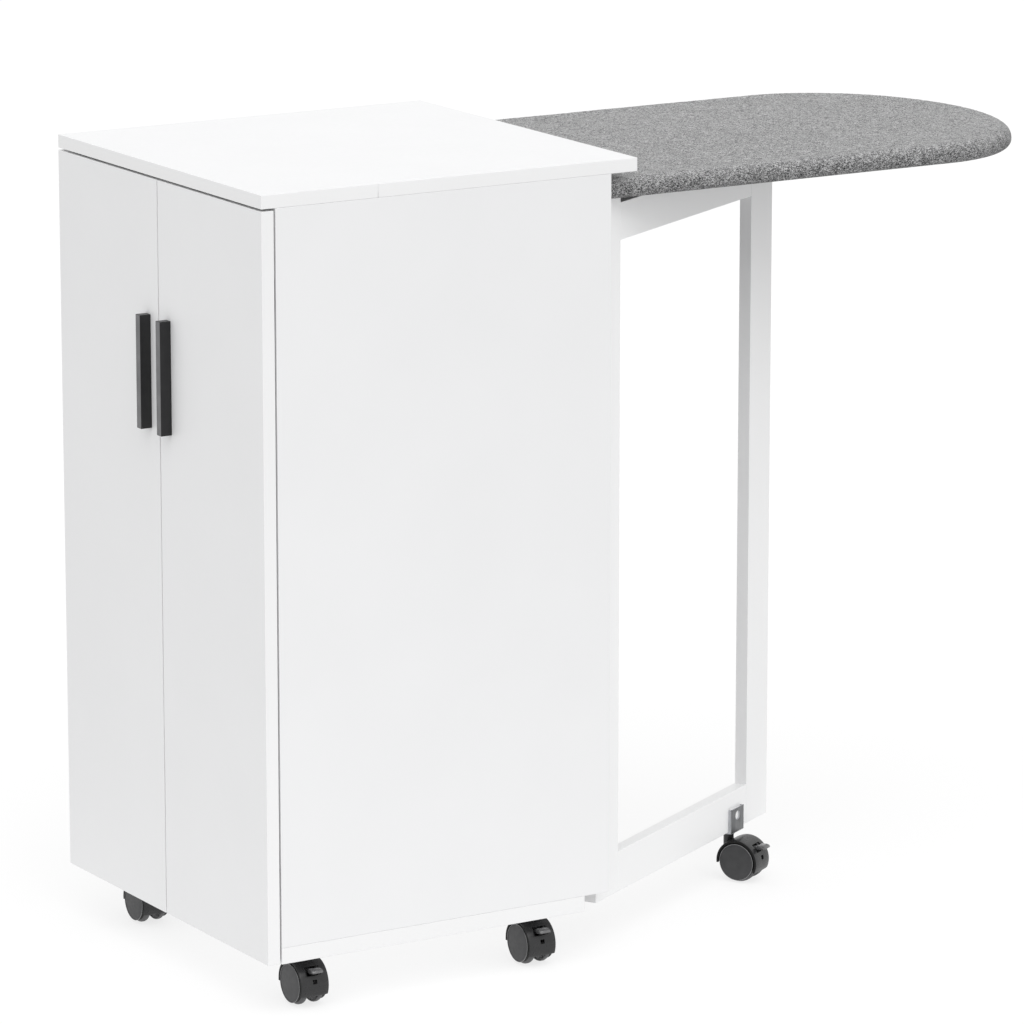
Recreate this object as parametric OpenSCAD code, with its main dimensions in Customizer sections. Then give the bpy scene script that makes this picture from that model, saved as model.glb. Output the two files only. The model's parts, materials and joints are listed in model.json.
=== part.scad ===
// Two-door cabinet on casters with a padded ironing board hinged at its back.
// A gate leg with a caster of its own swings out under the board.
// Pieces are drawn with x = 0 midway between the doors, y = 0 at the door fronts and z = 0 on the
// floor, then moved along y so that the origin is in the middle of the base. Sizes are in mm.

/* [Cabinet] */
// Overall height, floor to top
cab_h = 898; // [860:1:940]
// Width over the side panels
cab_w = 465; // [455:1:500]
// Depth of the top panel
top_d = 465; // [455:1:500]
// Thickness of the top, sides and shelves
panel_t = 15; // [14:0.5:17]
// Thickness of the bottom panel
bottom_t = 18; // [16:0.5:22]
// Thickness of the back panel
back_t = 12; // [9:0.5:16]
// How far the top stands out behind the side panels
top_overhang = 33; // [28:1:40]
// Depth of the recess behind the back panel that takes the folded leg
leg_recess = 31.5; // [29:0.5:36]
// Height of the rail under the top that carries the board's hinges
hinge_rail_h = 27; // [24:1:29]
// Distance of the edge band joint from the front of the top
seam_y = 140.75; // [60:0.25:300]
// Width of the edge band joint
seam_w = 0.5; // [0.3:0.1:1]
// Depth of the edge band joint
seam_depth = 0.4; // [0.2:0.1:1]

/* [Doors] */
// Thickness of a door
door_t = 15; // [14:0.5:16]
// Gap between a door's back and the side panels
door_back_gap = 2; // [1.8:0.1:3]
// Gap between a door's top edge and the top panel
door_top_gap = 2.5; // [1.5:0.1:4]
// Gap between the two doors
door_mid_gap = 2; // [1:0.1:4]
// Height of a door's bottom edge above the underside of the cabinet
door_rise = 1; // [0.5:0.5:10]

/* [Handles] */
// Width of a handle bar
handle_w = 10; // [8:0.5:14]
// How far a handle bar stands out from its door
handle_proud = 13.4; // [11:0.1:20]
// Length of a handle bar
handle_len = 126; // [100:1:180]
// Distance from the top surface down to the handle's upper end
handle_drop = 167.5; // [120:0.5:220]
// Distance of a handle's middle from the middle of the door gap
handle_inset = 23; // [15:0.5:40]
// Distance from a handle's end to its screw
handle_screw_inset = 15; // [10:1:30]

/* [Door hinges] */
// Distance of the pivot from the door's outer edge
pivot_inset = 5.3; // [4.8:0.1:5.4]
// Distance of the pivot from the door's back face
pivot_depth = 8; // [7.8:0.1:8.4]
// Radius of the pivot pin
pivot_r = 1; // [0.8:0.1:1.1]
// Radius of the hinge cup
cup_r = 17.5; // [16:0.5:20]
// Width of the door's rim outside the cup
cup_rim = 2.4; // [2.1:0.1:2.5]
// Depth of the cup
cup_depth = 11.5; // [11:0.1:12.5]
// Wall of the cup
cup_wall = 0.7; // [0.5:0.1:0.9]
// Thickness of the arm
arm_t = 2; // [1.6:0.1:2.2]
// Width of the arm
arm_w = 10; // [8:0.5:12]
// Distance from the pivot to the arm's long run
arm_reach = 14; // [13.8:0.1:15]
// Distance of a hinge from the door's top or bottom edge
door_hinge_inset = 100; // [70:1:140]

/* [Shelves] */
// Height of the lower shelf's underside above the cabinet floor
lower_shelf_rise = 254; // [180:1:300]
// Height of the upper shelf's underside above the cabinet floor
upper_shelf_rise = 514; // [400:1:560]
// Distance of a shelf's front edge behind the side panels' front edges
shelf_setback = 6; // [4:1:60]
// Distance of the shelf pins from the side panels' front and rear edges
shelf_pin_inset = 60; // [40:1:90]

/* [Board] */
// Width of the ironing board
board_w = 428; // [400:1:440]
// Length of the ironing board
board_len = 634; // [560:1:720]
// Thickness of the ironing board with its padding
board_t = 22.5; // [22:0.1:24]
// Length of the rounded nose
board_nose = 175; // [140:1:214]
// Gap between the board's top and the cabinet top's underside
board_top_gap = 10.2; // [9.5:0.1:12]
// Thickness of the board's wooden core
core_t = 15; // [13:0.5:15.5]
// Radius of the padded rim
rim_r = 8; // [6:0.5:9]
// Thickness of the cover cloth
cover_t = 1.2; // [1.2:0.1:1.5]
// Width of the hem under the board
hem_w = 33; // [25:1:50]

/* [Leg] */
// Length of the gate leg
leg_len = 426; // [390:1:428]
// Thickness of the gate leg
leg_t = 15; // [14:0.5:16]
// Width of the leg's upright stiles
stile_w = 53; // [45:1:60]
// Height of the leg's upper rail
upper_rail_h = 42; // [36:1:60]
// Height of the leg's lower rail
lower_rail_h = 47; // [38:1:60]
// Distance of the upper rail below the tops of the stiles
upper_rail_drop = 9; // [5:1:20]
// Angle between the leg and the square-out position
leg_angle = 30; // [10:1:50]
// Distance of the leg's pivot in front of the side panels' rear edges
leg_pivot_inset = 6; // [5:0.5:8]
// Gap between the leg's front face and the line of its pivot
leg_face_gap = 1.5; // [1:0.1:2]

/* [Butt hinges] */
// Radius of a knuckle
knuckle_r = 3; // [2.8:0.1:3.2]
// Radius of a hinge pin
hinge_pin_r = 1.25; // [1:0.05:1.5]
// Thickness of a leaf
leaf_t = 1.2; // [1:0.1:1.2]
// Length of a butt hinge
butt_len = 60; // [45:1:80]
// Distance of the board's hinges from the middle
board_hinge_x = 130; // [80:1:160]
// Distance of the leg's hinges from its ends
leg_hinge_inset = 90; // [60:1:200]

/* [Casters] */
// Height of a caster with its mounting plate
caster_h = 58; // [58:1:66]
// Radius of a wheel
wheel_r = 24; // [22.5:0.5:24]
// Width over both wheels
wheel_span = 35; // [34:0.5:38]
// Gap between the two wheels
wheel_gap = 14; // [14:0.5:15]
// Distance of the axle behind the swivel axis
caster_trail = 18.5; // [16:0.5:19]
// Wall of the hood
hood_t = 1.5; // [1.2:0.1:2]
// Gap between the wheels and the hood
hood_gap = 0.7; // [0.5:0.1:1]
// Width of the hood
hood_w = 34; // [30:0.5:34]
// Radius of the axle
axle_r = 2.5; // [2:0.1:3]
// Radius of the swivel stem
stem_r = 4; // [3.5:0.1:4.2]
// Thickness of a mounting plate
plate_t = 2; // [1.5:0.1:2.5]
// Side of a square mounting plate
plate_w = 38; // [36:1:44]
// Distance between the holes of a mounting plate
plate_holes = 28; // [26:1:30]
// Distance of the cabinet's casters from the cabinet's sides
caster_inset_x = 51; // [51:1:70]
// Distance of the front casters from the door fronts
caster_front_y = 61.5; // [50:0.5:90]
// Distance of the rear casters from the door fronts
caster_rear_y = 350; // [300:0.5:352]
// Distance of the leg's caster from the leg's pivot
leg_caster_u = 346; // [300:1:350]
// Width of the bracket on the leg
bracket_w = 32; // [30:1:40]
// Height of the bracket on the leg
bracket_h = 29; // [27:1:34]
// How far the bracket stands out from the leg
bracket_proud = 4; // [3.5:0.1:5]
// Radius of the bracket's open hole
bracket_hole_r = 5.5; // [4:0.1:6]
// Height of the open hole above the bracket's lower edge
bracket_hole_z = 20; // [12:0.5:21]

/* [Screws] */
// Radius of a wood screw's shank
screw_r = 1.6; // [1.4:0.1:1.8]
// Radius of a wood screw's head
screw_head_r = 3.1; // [2.8:0.1:3.3]
// Height of a raised screw head
screw_head_h = 1.5; // [1:0.1:1.7]
// Length of a wood screw's shank
screw_len = 11; // [8:0.5:12]

/* [Hidden] */
$fn = 48;

// Running and drilling clearance, radial
fit = 0.05;
// Clearance between flat pieces that slide past or lie beside each other
slide_gap = 0.3;
// Overlap that keeps a cut from ending on a face
eps = 0.5;

// Levels
under_top_z = cab_h - panel_t;
floor_z = caster_h + bottom_t;
door_top_z = under_top_z - door_top_gap;
door_under_z = caster_h + door_rise;
board_top_z = under_top_z - board_top_gap;
board_under_z = board_top_z - board_t;
core_under_z = board_under_z + cover_t;
core_top_z = core_under_z + core_t;

// Places across and along the cabinet
outer_x = cab_w / 2;
inner_x = outer_x - panel_t;
panel_mid_x = outer_x - panel_t / 2;
side_front_y = door_t + door_back_gap;
side_rear_y = top_d - top_overhang;
back_rear_y = side_rear_y - leg_recess;
back_front_y = back_rear_y - back_t;
rail_front_y = side_rear_y - panel_t;

// Board hinge line and board outline
root_gap = 0.8;
knuckle_hl = butt_len / 6 - slide_gap / 2;
board_pin_y = side_rear_y + knuckle_r;
board_pin_z = board_under_z + knuckle_r;
board_root_y = board_pin_y + knuckle_r + root_gap;
board_tip_y = board_root_y + board_len;
mid_y = (board_tip_y - handle_proud) / 2;

// Gate leg, in its own frame: x across its thickness, y along it from the pivot
leg_pin_x = inner_x - knuckle_r;
leg_pin_y = side_rear_y - leg_pivot_inset;
leg_near_y = knuckle_r;
leg_far_y = leg_near_y + leg_len;
leg_back_x = -leg_face_gap - leg_t;
leg_mid_x = -leg_face_gap - leg_t / 2;
leg_top_z = board_under_z - slide_gap;
leg_under_z = caster_h;
upper_rail_top_z = leg_top_z - upper_rail_drop;
leg_hinge_zs = [leg_under_z + leg_hinge_inset, leg_top_z - leg_hinge_inset];
rail_leaf_h = 24;
board_leaf_l = 32;
board_leaf_spread = 6;
leg_leaf_w = 22;
leg_leaf_screw_in = 14;
board_leaf_screw_ys = [13, 26];

// Door hinge pivot and cup
pivot_x = outer_x - pivot_inset;
pivot_y = door_t - pivot_depth;
cup_x = outer_x - cup_rim - cup_r;
door_hinge_zs = [door_under_z + door_hinge_inset, door_top_z - door_hinge_inset];
arm_x = pivot_x - arm_reach;
arm_run = 60;
arm_plate_run = 18;
arm_screw_edge = 6;
arm_end_y = side_front_y + arm_run;
arm_plate_y = side_front_y + arm_plate_run;
arm_screw_ys = [arm_plate_y + arm_screw_edge, arm_end_y - arm_screw_edge];
arm_plate_hh = 9;
eye_wall = 0.8;
eye_r = pivot_r + eye_wall;
notch_gap = 0.5;
flange_t = 1;
flange_screw_bite = 10;
flange_screw_head_h = 1;
flange_hw = 26;
flange_screw_z = 21.5;
flange_screw_x = cup_x - 9;
flange_side = 6;
pin_side_gap = 0.3;

// Handles and their screws
handle_top_z = cab_h - handle_drop;
handle_screw_zs = [handle_top_z - handle_screw_inset, handle_top_z - handle_len + handle_screw_inset];
handle_screw_bite = 8;

// Catch, its screws and the strike plates on the doors
catch_w = 48;
catch_h = 12;
catch_d = 20;
strike_t = 1.2;
strike_x = 8;
strike_w = 12;
strike_inset = 0.5;
catch_front_y = door_t + strike_t + 0.4;
catch_screw_x = 14;
catch_screw_y = catch_front_y + catch_d / 2;
catch_screw_bite = 8;

// Hidden fittings
cam_r = 7.5;
cam_l = 12;
cam_drop = 34;
cam_z = under_top_z - cam_drop;
cam_bolt_r = 3;
cam_bite = 11;
fitting_front = 43;
fitting_rear = 38;
fitting_ys = [side_front_y + fitting_front, back_front_y - fitting_rear];
dowel_r = 4;
dowel_bite = 10;
back_dowel_inset = 124;
back_dowel_zs = [
    floor_z + back_dowel_inset,
    (floor_z + under_top_z) / 2,
    under_top_z - back_dowel_inset
];
rail_mid_y = side_rear_y - panel_t / 2;
back_mid_y = back_rear_y - back_t / 2;
rail_mid_z = under_top_z - hinge_rail_h / 2;
leg_dowel_r = 3;
leg_dowel_l = 15;
leg_dowel_dz = 12;
bottom_screw_r = 3.2;
bottom_screw_head_r = 5;
bottom_screw_head_h = 4;
bottom_screw_bite = 32;
shelf_pin_r = 2.5;
shelf_pin_l = 8;
shelf_pin_ys = [side_front_y + shelf_pin_inset, back_front_y - shelf_pin_inset];
shelf_zs = [floor_z + lower_shelf_rise, floor_z + upper_shelf_rise];
shelf_front_y = side_front_y + shelf_setback;
shelf_side_gap = 0.5;
shelf_back_gap = 1;

// Caster parts, in the caster's own frame: swivel axis at the origin, axle behind it along x
caster_top_z = caster_h - plate_t;
hood_r = wheel_r + hood_gap + hood_t;
hood_from = -25;
hood_sweep = 212;
rib_count = 24;
rib_t = 1.2;
rib_set_in = 1.4;
rib_sink = 0.3;
rim_t = 4.5;
recess_d = 4.6;
wheel_hub_r = 7;
hub_set_in = 0.4;
face_t = 2;
press_gap = 0.02;
web_t = 6;
web_drop = 5;
neck_r = stem_r + 2;
neck_under_z = 14;
stem_under_z = 30;
rivet_r = stem_r * 0.65;
wheel_in_y = wheel_gap / 2;
wheel_out_y = wheel_span / 2;
brake_pivot_r = wheel_r * 0.73;
brake_pivot_a = 62;
brake_arm_a = 6;
brake_tab = [
    [13, -1.7], [22.2, -1.7], [24, -0.9], [24.4, 0.4], [23.4, 1.8], [20.3, 3.2], [14.4, 3.6], [13, 2.6]
];
brake_arm_t = 3.4;
brake_arm_l = 15;
brake_tab_w = 14;
brake_pivot = [
    caster_trail + brake_pivot_r * cos(brake_pivot_a),
    wheel_r + brake_pivot_r * sin(brake_pivot_a)
];
brake_pin_r = 1.2;
brake_boss_r = 3;
brake_hw = 5;
ear_in_y = brake_hw + slide_gap;
ear_out_y = wheel_in_y - 0.4;
ear_lean = 6;
ear_hw = 2.5;
web_cut_a = 12;
web_cut = [7.4, -3.6];
slot_a = 40.5;
slot_size = [wheel_r, brake_tab_w + 3, 10.6];
window_a = 12;
window_size = [wheel_r, 5.2, 4.8];
screw_dz = plate_holes / 2;
bottom_screw_x = panel_mid_x;

// Name, place and heading of each caster
CASTERS = [
    ["front_right_caster", outer_x - caster_inset_x, caster_front_y],
    ["rear_right_caster", outer_x - caster_inset_x, caster_rear_y],
    ["front_left_caster", caster_inset_x - outer_x, caster_front_y],
    ["rear_left_caster", caster_inset_x - outer_x, caster_rear_y],
    ["leg_caster", leg_mid_x, leg_caster_u]
];

// Colours
WHITE = [0.95, 0.95, 0.94];
STEEL = [0.62, 0.63, 0.65];
BLACK = [0.1, 0.1, 0.11];
DARK = [0.24, 0.24, 0.25];
CLOTH = [0.42, 0.43, 0.44];
FELT = [0.8, 0.8, 0.76];
PINE = [0.85, 0.74, 0.56];
CORE = [0.42, 0.42, 0.43];

// Moves a piece from the drawing's place to the origin in the middle of the base
module at_base() translate([0, -mid_y, 0]) children();

// Puts a piece on the right-hand side, or mirrors it to the left
module on_side(s) mirror([s < 0 ? 1 : 0, 0, 0]) children();

// Both sides at once
module both_sides() for (s = [-1, 1]) on_side(s) children();

// Frame of the gate leg
module in_leg() translate([leg_pin_x, leg_pin_y, 0]) rotate([0, 0, leg_angle]) children();

// Frame of one caster
module at_caster(c) {
    if (c[0] == "leg_caster") in_leg() translate([c[1], c[2], 0]) children();
    else translate([c[1], c[2], 0]) children();
}

// Places of the four casters under the cabinet
module at_cabinet_casters() for (i = [0:3]) at_caster(CASTERS[i]) children();

// Screw with its head below z = 0 and its shank above
module screw(len, r, head_r, head_h) {
    translate([0, 0, -head_h]) cylinder(r = head_r, h = head_h);
    cylinder(r = r, h = len);
}

// Flush screw whose head fills a leaf that lies below z = 0
module flush_screw(len) screw(len, screw_r, screw_head_r, leaf_t);

// Holes for a flush screw, in the leaf and in what lies above it
module flush_screw_hole() {
    translate([0, 0, -leaf_t - eps]) cylinder(r = screw_head_r + fit, h = leaf_t + eps);
    translate([0, 0, -eps]) cylinder(r = screw_r + fit, h = screw_len + eps + fit);
}

// Rectangular panel between two corners
module block(a, b) translate(a) cube([b[0] - a[0], b[1] - a[1], b[2] - a[2]]);

// Shelf pins of one side, made thicker or longer by grow when they cut a hole
module side_shelf_pins(grow) {
    for (z = shelf_zs, y = shelf_pin_ys)
        translate([inner_x - shelf_pin_l, y, z - shelf_pin_r - fit]) rotate([0, 90, 0])
            cylinder(r = shelf_pin_r + grow, h = 2 * shelf_pin_l - 1 + grow);
}

// Cam discs and bolts that tie one side to the top
module side_cams(grow) {
    for (y = fitting_ys) {
        translate([inner_x - grow, y, cam_z]) rotate([0, 90, 0])
            cylinder(r = cam_r + grow, h = cam_l + 2 * grow);
        translate([panel_mid_x, y, cam_z])
            cylinder(r = cam_bolt_r + grow, h = under_top_z - cam_z + cam_bite + grow);
    }
}

// Screws that tie the bottom to one side
module side_bottom_screws(grow) {
    for (y = fitting_ys) translate([bottom_screw_x, y, caster_h]) {
        translate([0, 0, -grow]) cylinder(r = bottom_screw_head_r + grow, h = bottom_screw_head_h + grow);
        cylinder(r = bottom_screw_r + grow, h = bottom_t + bottom_screw_bite + grow);
    }
}

// Dowels that tie the hinge rail and the back to one side
module side_dowels(grow) {
    spots = concat([[rail_mid_y, rail_mid_z]], [for (z = back_dowel_zs) [back_mid_y, z]]);
    for (p = spots) translate([inner_x - dowel_bite - grow, p[0], p[1]]) rotate([0, 90, 0])
        cylinder(r = dowel_r + grow, h = 2 * dowel_bite + 2 * grow);
}

// Screws that hold the catch under the top
module catch_screws(grow) {
    for (s = [-1, 1]) translate([s * catch_screw_x, catch_screw_y, under_top_z - catch_h]) {
        cylinder(r = screw_r + grow, h = catch_h + catch_screw_bite + grow);
        translate([0, 0, -screw_head_h]) cylinder(r = screw_head_r, h = screw_head_h);
    }
}

// Screws of one side's door hinge arms
module side_arm_screws(grow) {
    for (z = door_hinge_zs, y = arm_screw_ys) translate([arm_x - arm_t / 2, y, z]) rotate([0, 90, 0])
        cylinder(r = screw_r + grow, h = inner_x - arm_x + arm_t / 2 + screw_len + grow);
}

// Places of the screws in the leg hinges' leaves on the right side panel
module at_leg_side_leaf_screws() {
    for (z = leg_hinge_zs, dz = [-butt_len / 3, butt_len / 3])
        translate([inner_x, leg_pin_y - leg_leaf_screw_in, z + dz]) rotate([0, 90, 0]) children();
}

// Places of the screws in the leg hinges' leaves on the leg
module at_leg_leaf_screws() {
    for (z = leg_hinge_zs) in_leg() translate([leg_mid_x - 1, leg_near_y, z]) rotate([-90, 0, 0]) children();
}

// Places of the screws in the board hinges' leaves on the rail
module at_rail_leaf_screws() {
    for (s = [-1, 1], dx = [-butt_len / 3, butt_len / 3])
        translate([s * board_hinge_x + dx, side_rear_y, rail_mid_z]) rotate([90, 0, 0]) children();
}

// Places of the screws in the board hinges' leaves under the board
module at_board_leaf_screws() {
    for (s = [-1, 1], dy = board_leaf_screw_ys)
        translate([s * board_hinge_x, board_pin_y + dy, core_under_z]) children();
}

// Places of the four screws round a caster's plate
module at_plate_screws() {
    for (dx = [-1, 1], dy = [-1, 1]) translate([dx * screw_dz, dy * screw_dz, 0]) children();
}

// Places of the two screws in the leg bracket's foot
module at_bracket_screws() {
    for (s = [-1, 1]) in_leg() translate([leg_mid_x, leg_caster_u + s * (bracket_w / 2 - 5), 0]) children();
}

// Butt hinge knuckles along z: the fixed ones at both ends, the moving one between them
module fixed_knuckles() for (s = [-1, 1]) translate([0, 0, s * butt_len / 3]) knuckle();

// One knuckle, a third of the hinge long
module knuckle() cylinder(r = knuckle_r, h = butt_len / 3 - slide_gap, center = true);

// Bore through all the knuckles of a hinge
module knuckle_bore() cylinder(r = hinge_pin_r + fit, h = butt_len + 2, center = true);

// Hinge pin with a small head at each end
module hinge_pin() {
    cylinder(r = hinge_pin_r, h = butt_len + 1, center = true);
    for (s = [-1, 1]) translate([0, 0, s * (butt_len / 2 + 0.5)])
        cylinder(r = hinge_pin_r + 0.8, h = 0.8, center = true);
}

// Outline of the board, drawn in by an inset, from a root at any y
function board_outline(inset, root_y) = concat(
    [[board_w / 2 - inset, root_y], [board_w / 2 - inset, board_len - board_nose]],
    [for (i = [1:31]) let (a = i * 180 / 32)
        [(board_w / 2 - inset) * cos(a), board_len - board_nose + (board_nose - inset) * sin(a)]],
    [[inset - board_w / 2, board_len - board_nose], [inset - board_w / 2, root_y]]
);

// Solid that joins outlines of the board, each given by its inset and its height above the underside
module board_loft(steps) {
    n = len(board_outline(0, 0));
    rings = len(steps);
    translate([0, board_root_y, board_under_z]) polyhedron(
        points = [for (s = steps, p = board_outline(s[0], s[0])) [p[0], p[1], s[1]]],
        faces = concat(
            [[for (i = [0:n - 1]) i]],
            [[for (i = [n - 1:-1:0]) (rings - 1) * n + i]],
            [for (k = [0:rings - 2], i = [0:n - 1]) [k * n + i, (k + 1) * n + i, (k + 1) * n + (i + 1) % n]],
            [for (k = [0:rings - 2], i = [0:n - 1]) [k * n + i, (k + 1) * n + (i + 1) % n, k * n + (i + 1) % n]]
        )
    );
}

// Inset of the rounded rim at a height above the board's underside
function rim_inset(z) = rim_r - sqrt(max(0, rim_r * rim_r - pow(rim_r - min(z, board_t - z), 2)));
rim_zs = [0, 0.7, 2, 4, rim_r];
rim_steps = concat(
    [for (z = rim_zs) [rim_inset(z), z]],
    [for (i = [len(rim_zs) - 1:-1:0]) [rim_inset(rim_zs[i]), board_t - rim_zs[i]]]
);
core_inset = rim_inset(cover_t) + cover_t;
pad_round = 2;

module top_panel() color(WHITE) at_base() difference() {
    block([-outer_x, 0, under_top_z], [outer_x, top_d, cab_h]);
    for (s = [-1, 1]) translate([s * outer_x, seam_y, cab_h - panel_t / 2])
        cube([2 * seam_depth, seam_w, panel_t + 2], center = true);
    both_sides() side_cams(fit);
    catch_screws(fit);
}

module side_panel(s) color(WHITE) at_base() on_side(s) difference() {
    block([inner_x, side_front_y, floor_z], [outer_x, side_rear_y, under_top_z]);
    side_shelf_pins(fit);
    side_cams(fit);
    side_bottom_screws(fit);
    side_dowels(fit);
    side_arm_screws(fit);
    if (s > 0) at_leg_side_leaf_screws() flush_screw_hole();
}

module bottom_panel() color(WHITE) at_base() difference() {
    block([-outer_x, side_front_y, caster_h], [outer_x, back_rear_y, floor_z]);
    both_sides() side_bottom_screws(fit);
    at_cabinet_casters() at_plate_screws() translate([0, 0, caster_h - eps])
        cylinder(r = screw_r + fit, h = screw_len + fit + eps);
}

module back_panel() color(WHITE) at_base() difference() {
    block([-inner_x, back_front_y, floor_z], [inner_x, back_rear_y, under_top_z]);
    both_sides() side_dowels(fit);
}

module shelf(z) color(WHITE) at_base()
    block([shelf_side_gap - inner_x, shelf_front_y, z],
          [inner_x - shelf_side_gap, back_front_y - shelf_back_gap, z + panel_t]);

module hinge_rail() color(WHITE) at_base() difference() {
    block([-inner_x, rail_front_y, under_top_z - hinge_rail_h], [inner_x, side_rear_y, under_top_z]);
    both_sides() side_dowels(fit);
    at_rail_leaf_screws() flush_screw_hole();
}

module shelf_pins() color(STEEL) at_base() both_sides() side_shelf_pins(0);

module cam_fittings() color(STEEL) at_base() both_sides() side_cams(0);

module bottom_screws() color(STEEL) at_base() both_sides() side_bottom_screws(0);

module panel_dowels() color(PINE) at_base() both_sides() side_dowels(0);

// Cranked arms that reach from the pivots round the cups' mouths, with their mounting plates
module door_hinge_arms() color(STEEL) at_base() both_sides() for (z = door_hinge_zs) difference() {
    union() {
        translate([pivot_x, pivot_y, z]) cylinder(r = eye_r, h = arm_w, center = true);
        block([arm_x - arm_t / 2, pivot_y - arm_t / 2, z - arm_w / 2],
              [pivot_x, pivot_y + arm_t / 2, z + arm_w / 2]);
        block([arm_x - arm_t / 2, pivot_y - arm_t / 2, z - arm_w / 2],
              [arm_x + arm_t / 2, arm_end_y, z + arm_w / 2]);
        block([arm_x, arm_plate_y, z - arm_plate_hh], [inner_x, arm_end_y, z + arm_plate_hh]);
    }
    translate([pivot_x, pivot_y, z]) cylinder(r = pivot_r + fit, h = arm_w + 2, center = true);
    side_arm_screws(fit);
}

module door_catch() color(WHITE) at_base() difference() {
    block([-catch_w / 2, catch_front_y, under_top_z - catch_h],
          [catch_w / 2, catch_front_y + catch_d, under_top_z]);
    catch_screws(fit);
}

module hinge_and_catch_screws() color(STEEL) at_base() {
    both_sides() {
        side_arm_screws(0);
        for (z = door_hinge_zs, y = arm_screw_ys) translate([arm_x - arm_t / 2, y, z]) rotate([0, -90, 0])
            cylinder(r = screw_head_r, h = screw_head_h);
    }
    at_leg_side_leaf_screws() flush_screw(screw_len);
    at_rail_leaf_screws() flush_screw(screw_len);
    catch_screws(0);
}

// Fixed leaves of the board's hinges, on the rear face of the rail
module board_hinge_rail_leaves() color(STEEL) at_base() difference() {
    for (s = [-1, 1]) translate([s * board_hinge_x, board_pin_y, board_pin_z]) {
        rotate([0, 90, 0]) fixed_knuckles();
        block([slide_gap / 2 - butt_len / 2, -knuckle_r, knuckle_r + 0.7],
              [butt_len / 2 - slide_gap / 2, leaf_t - knuckle_r, rail_leaf_h]);
        for (k = [-1, 1]) translate([k * butt_len / 3 - knuckle_hl, -knuckle_r, 0])
            cube([2 * knuckle_hl, leaf_t, knuckle_r + 1]);
    }
    at_rail_leaf_screws() flush_screw_hole();
    for (s = [-1, 1]) translate([s * board_hinge_x, board_pin_y, board_pin_z]) rotate([0, 90, 0])
        knuckle_bore();
}

module board_hinge_pins() color(STEEL) at_base()
    for (s = [-1, 1]) translate([s * board_hinge_x, board_pin_y, board_pin_z]) rotate([0, 90, 0]) hinge_pin();

// Fixed leaves of the leg's hinges, on the inner face of the right side panel
module leg_hinge_side_leaves() color(STEEL) at_base() difference() {
    for (z = leg_hinge_zs) translate([leg_pin_x, leg_pin_y, z]) {
        fixed_knuckles();
        block([knuckle_r - leaf_t, -leg_leaf_w, slide_gap / 2 - butt_len / 2],
              [knuckle_r, -knuckle_r - 0.5, butt_len / 2 - slide_gap / 2]);
        for (k = [-1, 1]) translate([knuckle_r - leaf_t, -knuckle_r - 1, k * butt_len / 3 - knuckle_hl])
            cube([leaf_t, knuckle_r + 1, 2 * knuckle_hl]);
    }
    at_leg_side_leaf_screws() flush_screw_hole();
    for (z = leg_hinge_zs) translate([leg_pin_x, leg_pin_y, z]) knuckle_bore();
}

module leg_hinge_pins() color(STEEL) at_base()
    for (z = leg_hinge_zs) translate([leg_pin_x, leg_pin_y, z]) hinge_pin();

// Plates under the cabinet, each with the stem that its caster turns on
module caster_plates() color(STEEL) at_base() at_cabinet_casters() difference() {
    translate([0, 0, caster_top_z + plate_t / 2]) cube([plate_w, plate_w, plate_t], center = true);
    translate([0, 0, caster_top_z - eps]) cylinder(r = rivet_r + fit, h = plate_t + 2 * eps);
    at_plate_screws() translate([0, 0, caster_top_z - eps])
        cylinder(r = screw_r + fit, h = plate_t + 2 * eps);
}

// Stems of the cabinet's casters, riveted through their plates
module caster_stems() color(STEEL) at_base() at_cabinet_casters() {
    translate([0, 0, stem_under_z]) cylinder(r = stem_r, h = caster_top_z - stem_under_z);
    translate([0, 0, stem_under_z]) cylinder(r = rivet_r, h = caster_top_z - stem_under_z + plate_t);
}

module caster_plate_screws() color(STEEL) at_base() at_cabinet_casters() at_plate_screws()
    translate([0, 0, caster_top_z]) screw(screw_len + plate_t, screw_r, screw_head_r, screw_head_h);

// Place of a hinge cup, with z along its depth from its floor
module at_cup(z) translate([cup_x, door_t - cup_depth, z]) rotate([-90, 0, 0]) children();

module door(s) color(WHITE) at_base() on_side(s) difference() {
    block([door_mid_gap / 2, 0, door_under_z], [outer_x, door_t, door_top_z]);
    for (z = door_hinge_zs) {
        at_cup(z) cylinder(r = cup_r, h = cup_depth + eps);
        for (k = [-1, 1]) translate([flange_screw_x, door_t, z + k * flange_screw_z]) rotate([90, 0, 0])
            translate([0, 0, -eps]) cylinder(r = screw_r + fit, h = flange_screw_bite + eps + fit);
    }
    for (z = handle_screw_zs) translate([handle_inset, -eps, z]) rotate([-90, 0, 0])
        cylinder(r = screw_r + fit, h = door_t + 2 * eps);
}

module handle(s) color(BLACK) at_base() on_side(s) difference() {
    block([handle_inset - handle_w / 2, -handle_proud, handle_top_z - handle_len],
          [handle_inset + handle_w / 2, 0, handle_top_z]);
    for (z = handle_screw_zs) translate([handle_inset, eps, z]) rotate([90, 0, 0])
        cylinder(r = screw_r + fit, h = handle_screw_bite + eps + fit);
}

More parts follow.
